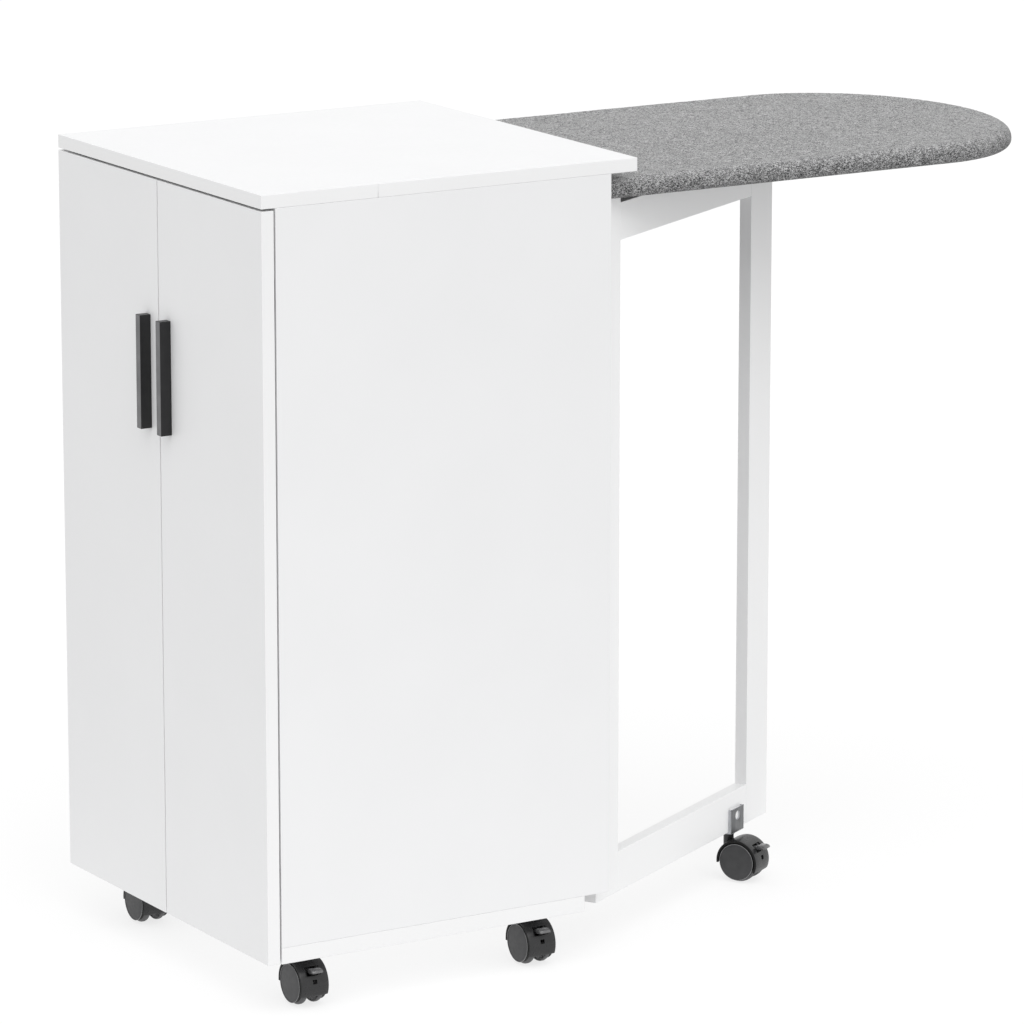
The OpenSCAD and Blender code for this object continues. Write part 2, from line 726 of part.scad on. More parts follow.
// Cups with their flanges on the door's back and the pivot pins across their mouths
module hinge_cups(s) color(STEEL) at_base() on_side(s) for (z = door_hinge_zs) union() {
    difference() {
        union() {
            at_cup(z) cylinder(r = cup_r - fit, h = cup_depth + flange_t);
            block([flange_screw_x - flange_side, door_t, z - flange_hw],
                  [cup_x + cup_r - fit, door_t + flange_t, z + flange_hw]);
        }
        at_cup(z) translate([0, 0, cup_wall]) cylinder(r = cup_r - fit - cup_wall, h = cup_depth + 2);
        block([pivot_x, pivot_y - eye_r - notch_gap, z - arm_w / 2 - notch_gap],
              [outer_x, door_t + flange_t + eps, z + arm_w / 2 + notch_gap]);
        for (k = [-1, 1]) translate([flange_screw_x, door_t - eps, z + k * flange_screw_z])
            rotate([-90, 0, 0]) cylinder(r = screw_r + fit, h = flange_t + 2 * eps);
    }
    intersection() {
        translate([pivot_x, pivot_y, z]) cylinder(r = pivot_r, h = 2 * cup_r, center = true);
        at_cup(z) cylinder(r = cup_r - pin_side_gap, h = cup_depth);
    }
}

module door_screws(s) color(STEEL) at_base() on_side(s) {
    for (z = handle_screw_zs) translate([handle_inset, door_t, z]) rotate([90, 0, 0])
        screw(door_t + handle_screw_bite, screw_r, screw_head_r, screw_head_h);
    for (z = door_hinge_zs, k = [-1, 1])
        translate([flange_screw_x, door_t + flange_t, z + k * flange_screw_z]) rotate([90, 0, 0])
            screw(flange_t + flange_screw_bite, screw_r, screw_head_r, flange_screw_head_h);
}

module strike_plate(s) color(STEEL) at_base() on_side(s)
    block([strike_x, door_t, under_top_z - catch_h + strike_inset],
          [strike_x + strike_w, door_t + strike_t, door_top_z - strike_inset]);

module board_core() color(CORE) at_base() difference() {
    translate([0, board_root_y, core_under_z]) linear_extrude(core_t)
        polygon(board_outline(core_inset, core_inset));
    at_board_leaf_screws() flush_screw_hole();
}

// What lies under the cover from a height above the board's underside, with its upper edge bevelled
module board_filling(from_z) board_loft([
    [core_inset, from_z],
    [core_inset, board_t - cover_t - pad_round],
    [core_inset + pad_round, board_t - cover_t]
]);

// Felt between the core and the cover
module board_pad() color(FELT) at_base() board_filling(core_top_z - board_under_z);

// Cover with a rounded rim, hollow where the core and the felt lie, open inside its hem
module board_cover() color(CLOTH) at_base() difference() {
    board_loft(rim_steps);
    board_filling(cover_t);
    translate([0, board_root_y, board_under_z - eps]) linear_extrude(cover_t + 2 * eps)
        polygon(board_outline(hem_w, -eps));
}

// Moving leaves of the board's hinges, under the core
module board_hinge_leaves() color(STEEL) at_base() difference() {
    for (s = [-1, 1]) translate([s * board_hinge_x, board_pin_y, board_pin_z]) {
        rotate([0, 90, 0]) knuckle();
        block([slide_gap / 2 - butt_len / 6, 0, -knuckle_r],
              [butt_len / 6 - slide_gap / 2, 2 * knuckle_r, leaf_t - knuckle_r]);
        block([-butt_len / 6 - board_leaf_spread, knuckle_r + root_gap, -knuckle_r],
              [butt_len / 6 + board_leaf_spread, knuckle_r + board_leaf_l, leaf_t - knuckle_r]);
    }
    at_board_leaf_screws() flush_screw_hole();
    for (s = [-1, 1]) translate([s * board_hinge_x, board_pin_y, board_pin_z]) rotate([0, 90, 0])
        knuckle_bore();
}

module board_leaf_screws() color(STEEL) at_base() at_board_leaf_screws() flush_screw(screw_len);

// Dowels in the four joints of the gate leg
module leg_joint_dowels(grow) {
    for (y = [leg_near_y + stile_w, leg_far_y - stile_w],
         z = [leg_under_z + lower_rail_h / 2, upper_rail_top_z - upper_rail_h / 2], k = [-1, 1])
        in_leg() translate([leg_mid_x, y, z + k * leg_dowel_dz]) rotate([90, 0, 0])
            cylinder(r = leg_dowel_r + grow, h = 2 * (leg_dowel_l + grow), center = true);
}

// Member of the gate leg between two places along it and two levels
module leg_member(y0, y1, z0, z1) in_leg() block([leg_back_x, y0, z0], [-leg_face_gap, y1, z1]);

module leg_hinge_stile() color(WHITE) at_base() difference() {
    leg_member(leg_near_y, leg_near_y + stile_w, leg_under_z, leg_top_z);
    leg_joint_dowels(fit);
    at_leg_leaf_screws() flush_screw_hole();
}

module leg_outer_stile() color(WHITE) at_base() difference() {
    leg_member(leg_far_y - stile_w, leg_far_y, leg_under_z, leg_top_z);
    leg_joint_dowels(fit);
}

module leg_upper_rail() color(WHITE) at_base() difference() {
    leg_member(leg_near_y + stile_w, leg_far_y - stile_w, upper_rail_top_z - upper_rail_h, upper_rail_top_z);
    leg_joint_dowels(fit);
}

module leg_lower_rail() color(WHITE) at_base() difference() {
    leg_member(leg_near_y + stile_w, leg_far_y - stile_w, leg_under_z, leg_under_z + lower_rail_h);
    leg_joint_dowels(fit);
    at_bracket_screws() translate([0, 0, leg_under_z - eps])
        cylinder(r = screw_r + fit, h = screw_len + eps + fit);
}

// Moving leaves of the leg's hinges, on the leg's end
module leg_hinge_leaves() color(STEEL) at_base() difference() {
    for (z = leg_hinge_zs) in_leg() translate([0, 0, z]) {
        knuckle();
        block([-knuckle_r - 1, knuckle_r - leaf_t, -knuckle_hl], [0, knuckle_r, knuckle_hl]);
        block([leg_back_x, knuckle_r - leaf_t, -butt_len / 2], [-knuckle_r - eps, knuckle_r, butt_len / 2]);
    }
    at_leg_leaf_screws() flush_screw_hole();
    for (z = leg_hinge_zs) in_leg() translate([0, 0, z]) knuckle_bore();
}

module leg_screws() color(STEEL) at_base() {
    at_leg_leaf_screws() flush_screw(screw_len);
    at_bracket_screws() translate([0, 0, caster_top_z])
        screw(screw_len + plate_t, screw_r, screw_head_r, screw_head_h);
}

module leg_dowels() color(PINE) at_base() leg_joint_dowels(0);

// Bracket on the leg's front face and under its rail, with the stem of the leg's caster
module leg_caster_bracket() color(STEEL) at_base() difference() {
    in_leg() translate([-leg_face_gap, leg_caster_u, caster_top_z]) {
        block([bracket_proud - plate_t, -bracket_w / 2, 0], [bracket_proud, bracket_w / 2, bracket_h]);
        for (s = [-1, 1]) translate([0, s * (bracket_w / 2 - plate_t / 2), 0])
            block([0, -plate_t / 2, 0], [bracket_proud, plate_t / 2, bracket_h]);
        block([-leg_t + 1, -bracket_w / 2, 0], [bracket_proud, bracket_w / 2, plate_t]);
        translate([leg_mid_x + leg_face_gap, 0, stem_under_z - caster_top_z])
            cylinder(r = stem_r, h = caster_top_z - stem_under_z + plate_t / 2);
    }
    in_leg() translate([0, leg_caster_u, caster_top_z + bracket_hole_z]) rotate([0, 90, 0])
        cylinder(r = bracket_hole_r, h = 4 * bracket_proud, center = true);
    at_bracket_screws() translate([0, 0, caster_top_z - eps])
        cylinder(r = screw_r + fit, h = plate_t + 2 * eps);
}

// Turns a drawing made in x and z so that it is extruded along y, centred
module along_y(h) rotate([90, 0, 0]) translate([0, 0, -h / 2]) linear_extrude(h) children();

// Hood with the web between the wheels, the neck on the stem and the ears of the brake lever
module caster_hood(c) color(BLACK) at_base() at_caster(c) difference() {
    union() {
        translate([caster_trail, 0, wheel_r]) rotate([90, 0, 0]) rotate([0, 0, hood_from])
            rotate_extrude(angle = hood_sweep)
                translate([hood_r - hood_t, -hood_w / 2]) square([hood_t, hood_w]);
        along_y(web_t) translate([caster_trail, wheel_r]) difference() {
            circle(r = hood_r - hood_t / 2);
            translate([-2 * wheel_r, -4 * wheel_r - web_drop]) square(4 * wheel_r);
            rotate(web_cut_a) translate(web_cut) square(2 * wheel_r);
        }
        translate([caster_trail, 0, wheel_r]) rotate([90, 0, 0])
            cylinder(r = axle_r + 3, h = wheel_gap, center = true);
        translate([0, 0, neck_under_z]) cylinder(r = neck_r, h = caster_top_z - slide_gap - neck_under_z);
        for (s = [-1, 1]) translate([0, s * (ear_in_y + ear_out_y) / 2, 0]) along_y(ear_out_y - ear_in_y) {
            translate(brake_pivot) circle(r = brake_boss_r);
            translate(brake_pivot) rotate(brake_pivot_a + ear_lean) translate([0, -ear_hw])
                square([hood_r - brake_pivot_r - hood_t / 2, 2 * ear_hw]);
        }
        translate([brake_pivot[0], 0, brake_pivot[1]]) rotate([90, 0, 0])
            cylinder(r = brake_pin_r, h = ear_out_y + ear_in_y, center = true);
    }
    translate([caster_trail, 0, wheel_r]) rotate([90, 0, 0])
        cylinder(r = axle_r + fit, h = wheel_gap + 2, center = true);
    translate([0, 0, stem_under_z - 1]) cylinder(r = stem_r + fit, h = caster_h);
    translate([caster_trail, 0, wheel_r]) {
        rotate([0, -slot_a, 0]) translate([1.4 * wheel_r, 0, 0]) cube(slot_size, center = true);
        rotate([0, -window_a, 0]) translate([1.4 * wheel_r, 0, 0]) cube(window_size, center = true);
    }
}

// Wheel standing on z, inner side down, with a recess and ribs on its inner side
module wheel() {
    t = wheel_out_y - wheel_in_y;
    bore = axle_r + press_gap;
    rotate_extrude() polygon([
        [0, t], [wheel_r - 2.1, t], [wheel_r - 0.7, t - 0.9], [wheel_r, t - 2.3], [wheel_r, 1.4],
        [wheel_r - 1.2, 0], [wheel_r - rim_t, 0], [wheel_r - rim_t, recess_d], [wheel_hub_r, recess_d],
        [wheel_hub_r, hub_set_in], [bore, hub_set_in], [bore, t - face_t], [0, t - face_t]
    ]);
    for (i = [0:rib_count - 1]) rotate([0, 0, i * 360 / rib_count])
        translate([wheel_r - 2 * rim_t, -rib_t / 2, rib_set_in])
            cube([rim_t + rib_sink, rib_t, recess_d - rib_set_in + rib_sink]);
}

// Pair of wheels pressed on their axle
module caster_wheels(c) color(DARK) at_base() at_caster(c) translate([caster_trail, 0, wheel_r]) {
    rotate([-90, 0, 0]) translate([0, 0, wheel_in_y]) wheel();
    rotate([90, 0, 0]) translate([0, 0, wheel_in_y]) wheel();
    rotate([90, 0, 0]) cylinder(r = axle_r, h = 2 * (wheel_out_y - face_t - press_gap), center = true);
}

// Brake lever with a narrow arm inside the hood and a wide tab outside it
module caster_brake(c) color(BLACK) at_base() at_caster(c) difference() {
    union() {
        along_y(2 * brake_hw) translate(brake_pivot) {
            circle(r = brake_boss_r);
            rotate(brake_arm_a) translate([0, -brake_arm_t / 2]) square([brake_arm_l, brake_arm_t]);
        }
        along_y(brake_tab_w) translate(brake_pivot) rotate(brake_arm_a) polygon(brake_tab);
    }
    translate([brake_pivot[0], 0, brake_pivot[1]]) rotate([90, 0, 0])
        cylinder(r = brake_pin_r + fit, h = 2 * brake_tab_w, center = true);
}

top_panel();
side_panel(-1);  // left_side_panel
side_panel(1);  // right_side_panel
bottom_panel();
back_panel();
shelf(shelf_zs[0]);  // lower_shelf
shelf(shelf_zs[1]);  // upper_shelf
hinge_rail();
shelf_pins();
cam_fittings();
bottom_screws();
panel_dowels();
door_hinge_arms();
door_catch();
hinge_and_catch_screws();
board_hinge_rail_leaves();
board_hinge_pins();
leg_hinge_side_leaves();
leg_hinge_pins();
caster_plates();
caster_stems();
caster_plate_screws();
door(-1);  // left_door
handle(-1);  // left_handle
hinge_cups(-1);  // left_hinge_cups
door_screws(-1);  // left_door_screws
strike_plate(-1);  // left_strike_plate
door(1);  // right_door
handle(1);  // right_handle
hinge_cups(1);  // right_hinge_cups
door_screws(1);  // right_door_screws
strike_plate(1);  // right_strike_plate
board_core();
board_pad();
board_cover();
board_hinge_leaves();
board_leaf_screws();
leg_hinge_stile();
leg_outer_stile();
leg_upper_rail();
leg_lower_rail();
leg_hinge_leaves();
leg_screws();
leg_dowels();
leg_caster_bracket();
caster_hood(CASTERS[0]);  // front_right_caster_hood
caster_wheels(CASTERS[0]);  // front_right_caster_wheels
caster_brake(CASTERS[0]);  // front_right_caster_brake
caster_hood(CASTERS[1]);  // rear_right_caster_hood
caster_wheels(CASTERS[1]);  // rear_right_caster_wheels
caster_brake(CASTERS[1]);  // rear_right_caster_brake
caster_hood(CASTERS[2]);  // front_left_caster_hood
caster_wheels(CASTERS[2]);  // front_left_caster_wheels
caster_brake(CASTERS[2]);  // front_left_caster_brake
caster_hood(CASTERS[3]);  // rear_left_caster_hood
caster_wheels(CASTERS[3]);  // rear_left_caster_wheels
caster_brake(CASTERS[3]);  // rear_left_caster_brake
caster_hood(CASTERS[4]);  // leg_caster_hood
caster_wheels(CASTERS[4]);  // leg_caster_wheels
caster_brake(CASTERS[4]);  // leg_caster_brake
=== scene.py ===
"""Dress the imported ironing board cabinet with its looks.

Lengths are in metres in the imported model's frame: +Z is up, the doors face -Y and the board's nose
points to +Y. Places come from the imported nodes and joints. A class's fields hold the sizes that only
the looks need.
"""

from __future__ import annotations

import json
import logging
import math
from contextlib import contextmanager
from dataclasses import dataclass, field
from enum import Enum
from typing import Iterable, Iterator, Sequence

import bmesh
import bpy
import numpy as np
from mathutils import Matrix, Vector, noise

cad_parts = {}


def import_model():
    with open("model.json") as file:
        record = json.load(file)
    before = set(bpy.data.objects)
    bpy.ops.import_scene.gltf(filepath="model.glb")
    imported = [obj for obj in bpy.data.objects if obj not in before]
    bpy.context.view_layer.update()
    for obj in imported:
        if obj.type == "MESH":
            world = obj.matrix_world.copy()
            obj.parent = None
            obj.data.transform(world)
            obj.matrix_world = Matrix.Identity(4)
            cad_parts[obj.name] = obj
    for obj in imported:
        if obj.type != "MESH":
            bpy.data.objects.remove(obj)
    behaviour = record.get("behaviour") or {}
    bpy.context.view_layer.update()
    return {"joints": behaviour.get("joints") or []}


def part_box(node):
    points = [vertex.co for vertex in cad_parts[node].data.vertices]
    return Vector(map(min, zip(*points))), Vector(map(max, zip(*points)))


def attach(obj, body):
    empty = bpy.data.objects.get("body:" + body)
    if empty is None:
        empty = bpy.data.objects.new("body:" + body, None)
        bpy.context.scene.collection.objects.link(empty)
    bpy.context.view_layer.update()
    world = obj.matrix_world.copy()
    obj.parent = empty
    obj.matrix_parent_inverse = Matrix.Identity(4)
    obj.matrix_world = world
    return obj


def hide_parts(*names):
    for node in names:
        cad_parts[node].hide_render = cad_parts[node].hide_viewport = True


log = logging.getLogger("ironing_board_cabinet")

Pair = tuple[float, float]
Triple = tuple[float, float, float]
Colour = Triple
Outline = list[Pair]
Profile = Sequence[tuple[float, float, int]]
BMesh = bmesh.types.BMesh
Mesh = bpy.types.Mesh
Piece = bpy.types.Object
Material = bpy.types.Material
Socket = bpy.types.NodeSocket

MM = 0.001
MERGE = 1e-6
FACING = 0.9
LEAF_EDGE = 0.00015
FITTING_EDGE = 0.0002
WHITE = (1.0, 1.0, 1.0, 1.0)
HERE = Matrix()


class Side(Enum):
    """The two hands of the cabinet, seen from the doors."""

    LEFT = -1
    RIGHT = 1


class Head(Enum):
    """How a screw's head sits on what it holds."""

    RAISED = "raised"
    FLUSH = "flush"


class Shader:
    """Builds the node tree of one material or world in a few words."""

    def __init__(self, name: str, world: bool = False) -> None:
        """Start an empty tree.

        Args:
            name: The material's or the world's name.
            world: Whether the tree is a world's.
        """
        self.made = (bpy.data.worlds if world else bpy.data.materials).new(name)
        self.made.use_nodes = True
        self.tree = self.made.node_tree
        self.tree.nodes.clear()
        self.output = self.node("OutputWorld" if world else "OutputMaterial")
        self.place = self.node("TexCoord").outputs["Object"]

    def node(self, kind: str, inputs: dict | None = None, **settings: object) -> bpy.types.Node:
        """Add a node.

        Args:
            kind: The node's type, without its prefix.
            inputs: Values, or sockets to link, by the names or numbers of the inputs.
            **settings: Properties of the node.

        Returns:
            The new node.
        """
        made = self.tree.nodes.new("ShaderNode" + kind)
        for key, value in settings.items():
            setattr(made, key, value)
        for key, value in (inputs or {}).items():
            if isinstance(value, Socket):
                self.tree.links.new(value, made.inputs[key])
            else:
                made.inputs[key].default_value = value
        return made

    def grain(
        self, scale: float, detail: float = 3.0, stretch: Triple = (1.0, 1.0, 1.0), rough: float = 0.5,
        twist: float = 0.0, turn: float = 0.0,
    ) -> Socket:
        """Add noise in the piece's own space.

        Args:
            scale: Waves per metre.
            detail: Octaves.
            stretch: Factors on the three axes.
            rough: Weight of the finer octaves.
            twist: Distortion of the noise.
            turn: Turn about Z before the stretch, in degrees.

        Returns:
            The noise, about 0 to 1.
        """
        turned = {"Vector": self.place, "Rotation": (0.0, 0.0, math.radians(turn)), "Scale": stretch}
        place = self.node("Mapping", turned, vector_type="POINT").outputs["Vector"]
        waves = {"Vector": place, "Scale": scale, "Detail": detail, "Roughness": rough, "Distortion": twist}
        return self.node("TexNoise", waves).outputs["Fac"]

    def span(self, value: Socket, lo: float, hi: float, start: float = 0.3, end: float = 0.7) -> Socket:
        """Spread a value between two limits: start gives lo, end gives hi."""
        limits = {"Value": value, "From Min": start, "From Max": end, "To Min": lo, "To Max": hi}
        return self.node("MapRange", limits, clamp=True).outputs["Result"]

    def maths(self, operation: str, a: object, b: object) -> Socket:
        """Combine two values or sockets by a math node's operation."""
        return self.node("Math", {0: a, 1: b}, operation=operation).outputs[0]

    def blend(self, factor: Socket, a: Colour, b: Colour) -> Socket:
        """Mix two colours: a factor of 0 gives the first, 1 the second."""
        return self.node("Mix", {0: factor, 6: (*a, 1.0), 7: (*b, 1.0)}, data_type="RGBA").outputs[2]

    def bump(self, height: Socket, depth: float, strength: float = 1.0) -> Socket:
        """Turn a height into a normal, where a height of 1 stands for the depth in metres."""
        inputs = {"Strength": strength, "Distance": depth, "Height": height}
        return self.node("Bump", inputs).outputs["Normal"]

    def seen(self) -> Socket:
        """Tell the rays that look at the background from those that light the object.

        Returns:
            1 on rays of the camera, of reflection and of transmission, and 0 on others.
        """
        rays = self.node("LightPath").outputs
        direct = self.maths("MAXIMUM", rays["Is Camera Ray"], rays["Is Glossy Ray"])
        return self.maths("MAXIMUM", direct, rays["Is Transmission Ray"])

    def surface(self, **inputs: object) -> Material:
        """Close the tree with a principled shader, whose inputs are written with underscores."""
        named = {key.replace("_", " "): value for key, value in inputs.items()}
        return self.close(self.node("BsdfPrincipled", named).outputs[0])

    def close(self, surface: Socket) -> bpy.types.ID:
        """Link the tree's last node to its output, and return the material or world."""
        self.tree.links.new(surface, self.output.inputs["Surface"])
        return self.made


@dataclass(frozen=True)
class Finish:
    """Two clouded tones, a grained roughness and a fine relief.

    The fields cloud, worn and relief are waves per metre, and shade gives the dark tone where none is set.
    """

    name: str
    light: Colour
    dark: Colour | None = None
    rough: Pair = (0.3, 0.42)
    cloud: float = 80.0
    wear_and_painted_shade: float = 220.0
    relief: float = 1600.0
    octaves: float = 2.0
    lines: Triple = (1.0, 1.0, 1.0)
    depth: float = 0.00002
    strength: float = 0.6
    specular: float = 0.3
    metallic: float = 0.0
    shade: float = 0.985

    def build(self) -> Material:
        """Build the material.

        Returns:
            The material.
        """
        shader = Shader(self.name)
        cloud = shader.span(shader.grain(self.cloud, 4.0), 0.0, 1.0)
        dark = self.dark or tuple(part * self.shade for part in self.light)
        relief = shader.grain(self.relief, self.octaves, self.lines)
        return shader.surface(
            Base_Color=shader.blend(cloud, self.light, dark),
            Metallic=self.metallic,
            Roughness=shader.span(shader.grain(self.wear_and_painted_shade, 3.0, self.lines), *self.rough),
            Normal=shader.bump(relief, self.depth, self.strength),
            Specular_IOR_Level=self.specular,
        )


@dataclass(frozen=True)
class Melamine(Finish):
    """White decor foil pressed on board, with a fine pearl texture."""

    rough: Pair = (0.36, 0.46)
    cloud: float = 9.0
    wear_and_painted_shade: float = 160.0
    relief: float = 1400.0
    strength: float = 0.5
    specular: float = 0.4


@dataclass(frozen=True)
class Metal(Finish):
    """Plated or brushed steel with fine lines one way."""

    rough: Pair = (0.28, 0.42)
    cloud: float = 55.0
    wear_and_painted_shade: float = 260.0
    relief: float = 260.0
    octaves: float = 3.0
    lines: Triple = (1.0, 1.0, 14.0)
    depth: float = 0.00001
    strength: float = 0.4
    specular: float = 0.5
    metallic: float = 1.0


@dataclass(frozen=True)
class Moulded(Finish):
    """Moulded or painted surface with a fine eroded texture."""


@dataclass(frozen=True)
class PressedBoard:
    """Bare or painted fibreboard with its fibres showing."""

    name: str
    light: Colour
    dark: Colour
    fibres: float = 700.0
    stretch: Triple = (1.0, 0.35, 1.0)
    depth: float = 0.00008

    def build(self) -> Material:
        """Build the material.

        Returns:
            The material.
        """
        shader = Shader(self.name)
        fibre = shader.grain(self.fibres, 5.0, self.stretch, 0.65)
        return shader.surface(
            Base_Color=shader.blend(shader.span(fibre, 0.0, 1.0, 0.35, 0.65), self.light, self.dark),
            Roughness=0.82,
            Normal=shader.bump(fibre, self.depth),
        )


@dataclass(frozen=True)
class HeatherCloth:
    """Heathered woven cloth: light and dark yarns crossing, with slubs, a soft nap and painted shade on its
    sides.

    The fields yarn, fleck and cloud are waves per metre. Each kind of yarn has a weight, a stretch and a
    turn.
    """

    name: str = "heathered_cloth"
    light: Colour = (0.82, 0.82, 0.825)
    dark: Colour = (0.014, 0.0145, 0.015)
    # Painted shade: how much darker the cloth is painted on the board's rim than on its top.
    wear_and_painted_shade: float = 0.16
    yarn: float = 540.0
    yarn_half: float = 0.085
    fleck: float = 540.0 * 3.4
    fleck_sway: float = 0.3
    cloud: float = 90.0
    cloud_sway: float = 0.05
    span: Pair = (-0.392, 0.608)
    pale: tuple[float, Triple, float] = (0.5, (1.0, 0.45, 1.0), 25.0)
    deep: tuple[float, Triple, float] = (0.42, (0.5, 1.0, 1.1), -35.0)
    relief: float = 0.6
    depth: float = 0.0006

    def build(self) -> Material:
        """Build the material.

        Returns:
            The material.
        """
        shader = Shader(self.name)
        pale = self.strands(shader, *self.pale[1:])
        deep = self.strands(shader, *self.deep[1:])
        fleck = shader.span(shader.grain(self.fleck, 2.0, rough=0.6), -self.fleck_sway, self.fleck_sway)
        cloud = shader.span(shader.grain(self.cloud, 4.0), -self.cloud_sway, self.cloud_sway)
        weighed = [shader.maths("MULTIPLY", *pair) for pair in ((pale, self.pale[0]), (deep, self.deep[0]))]
        woven = shader.maths("SUBTRACT", *weighed)
        woven = shader.maths("ADD", woven, shader.maths("ADD", fleck, cloud))
        # Painted shade: the cloth is made darker where its surface turns from the top to the side, standing
        # in for the shade on the board's rim.
        upward = shader.node("SeparateXYZ", {0: shader.node("TexCoord").outputs["Normal"]}).outputs["Z"]
        tone = shader.maths("SUBTRACT", woven, shader.span(upward, self.wear_and_painted_shade, 0.0, 0.2, 0.95))
        height = shader.maths("ADD", *(shader.maths("MULTIPLY", part, self.relief) for part in (pale, fleck)))
        return shader.surface(
            Base_Color=shader.blend(shader.span(tone, 0.0, 1.0, *self.span), self.dark, self.light),
            Roughness=0.95,
            Normal=shader.bump(height, self.depth),
            Specular_IOR_Level=0.15,
            Sheen_Weight=0.12,
            Sheen_Roughness=0.6,
        )

    def strands(self, shader: Shader, stretch: Triple, turn: float) -> Socket:
        """Add thin winding yarns along the lines where a noise crosses its middle.

        Args:
            shader: The tree to add to.
            stretch: Factors on the three axes.
            turn: Turn about Z, in degrees.

        Returns:
            1 on a yarn, falling to 0 beside it.
        """
        waves = shader.grain(self.yarn, 1.0, stretch, 0.5, 0.6, turn)
        off = shader.maths("ABSOLUTE", shader.maths("SUBTRACT", waves, 0.5), 0.0)
        return shader.span(off, 1.0, 0.0, 0.0, self.yarn_half)


@dataclass(frozen=True)
class StudioFloor:
    """Pale floor that reads as white, keeps a soft shadow, lights the object and is clear from below."""

    name: str = "studio_floor"
    tone: float = 0.24
    lift: float = 0.76
    bounce: float = 1.12

    def build(self) -> Material:
        """Build the material.

        Returns:
            The material.
        """
        shader = Shader(self.name)
        diffuse = shader.node("BsdfDiffuse", {"Color": (self.tone, self.tone, self.tone, 1.0)}).outputs[0]
        strength = shader.maths("MULTIPLY", shader.seen(), self.lift)
        glow = shader.node("Emission", {"Color": WHITE, "Strength": strength}).outputs[0]
        both = shader.node("AddShader", {0: diffuse, 1: glow}).outputs[0]
        even = shader.node("Emission", {"Color": WHITE, "Strength": self.bounce}).outputs[0]
        lighting = shader.node("LightPath").outputs["Is Diffuse Ray"]
        above = shader.node("MixShader", {0: lighting, 1: both, 2: even}).outputs[0]
        behind = shader.node("NewGeometry").outputs["Backfacing"]
        clear = shader.node("BsdfTransparent").outputs[0]
        return shader.close(shader.node("MixShader", {0: behind, 1: above, 2: clear}).outputs[0])


class Finishes:
    """All the object's materials, made once."""

    def __init__(self) -> None:
        """Build every finish."""
        self.decor = Melamine("white_melamine", (0.845, 0.847, 0.853)).build()
        # Painted light: the leg's white is lighter than the cabinet's same melamine, standing in for light
        # that the board above keeps off the leg.
        self.leg = Melamine("white_leg_melamine_painted_light", (0.945, 0.947, 0.95)).build()
        self.edging = Melamine("white_edging", (0.87, 0.871, 0.874), rough=(0.3, 0.4)).build()
        self.dowel = PressedBoard("beech", (0.56, 0.43, 0.29), (0.42, 0.31, 0.2)).build()
        self.core = PressedBoard("painted_fibreboard", (0.1, 0.1, 0.103), (0.06, 0.06, 0.062)).build()
        self.zinc = Metal("zinc_plated_steel", (0.6, 0.61, 0.63), (0.46, 0.47, 0.49)).build()
        self.bracket = Metal(
            "brushed_bracket_steel", (0.21, 0.213, 0.22), (0.12, 0.123, 0.127), (0.3, 0.5),
            lines=(1.0, 1.0, 0.08),
        ).build()
        # Painted reflection: the handle's front face is a lighter brushed grey than its black sides, standing
        # in for the light that the black bar reflects there.
        self.handle_front_painted_reflection = Metal(
            "handle_front_painted_reflection_brushed", (0.19, 0.19, 0.195), (0.14, 0.14, 0.145), (0.34, 0.46),
            lines=(14.0, 1.0, 0.2),
        ).build()
        self.handle_side = Moulded("handle_black_coat", (0.022, 0.022, 0.023), (0.016, 0.016, 0.017)).build()
        self.hood = Moulded(
            "caster_black", (0.021, 0.021, 0.022), (0.013, 0.013, 0.014), (0.24, 0.36), specular=0.5
        ).build()
        # Painted highlight: the brake lever is a lighter grey than the black hood it is moulded like,
        # standing in for the highlights along its tab.
        self.lever = Moulded(
            "lever_black_painted_highlight", (0.13, 0.13, 0.133), (0.09, 0.09, 0.093), (0.1, 0.16), specular=1.0
        ).build()
        self.disc = Moulded(
            "wheel_disc_grey", (0.045, 0.045, 0.047), (0.032, 0.032, 0.034), (0.4, 0.52), specular=0.5
        ).build()
        # Painted highlight: a lighter grey for the wheel's thin edge ring and the ribs in its recess,
        # standing in for the light that catches them.
        self.edge_painted_highlight = Moulded(
            "wheel_edge_painted_highlight", (0.3, 0.3, 0.305), (0.22, 0.22, 0.225), (0.2, 0.3)
        ).build()
        self.tread = Moulded(
            "wheel_tread_grey", (0.12, 0.12, 0.123), (0.08, 0.08, 0.083), (0.4, 0.55)
        ).build()
        # Painted shade: a near black for the band between the wheel's edge ring and its tread, the recess
        # behind the ribs and the hood's side lips, standing in for the shade there.
        self.painted_shade_black = Moulded(
            "wheel_painted_shade_black", (0.004, 0.004, 0.004), (0.003, 0.003, 0.003), (0.5, 0.6)
        ).build()
        self.catch = Moulded(
            "catch_white", (0.8, 0.8, 0.8), (0.76, 0.76, 0.76), (0.4, 0.5), specular=0.5
        ).build()
        self.cloth = HeatherCloth().build()


@contextmanager
def editing(mesh: Mesh) -> Iterator[BMesh]:
    """Open a mesh as a bmesh, and write it back afterwards.

    Args:
        mesh: The mesh.

    Yields:
        The bmesh.
    """
    work = bmesh.new()
    work.from_mesh(mesh)
    yield work
    work.to_mesh(mesh)
    work.free()


def placed(name: str, data: bpy.types.ID) -> Piece:
    """Link a mesh, a camera or a lamp as a new object.

    Args:
        name: The object's name.
        data: What it shows.

    Returns:
        The object.
    """
    made = bpy.data.objects.new(name, data)
    bpy.context.scene.collection.objects.link(made)
    return made


def show(mesh: Mesh, name: str, materials: Sequence[Material]) -> Piece:
    """Link a mesh as an object, with its materials.

    Args:
        mesh: The mesh, which keeps the materials that it already has.
        name: The object's name.
        materials: Materials in the order of the faces' indices.

    Returns:
        The object.
    """
    if not mesh.materials:
        for material in materials:
            mesh.materials.append(material)
    return placed(name, mesh)


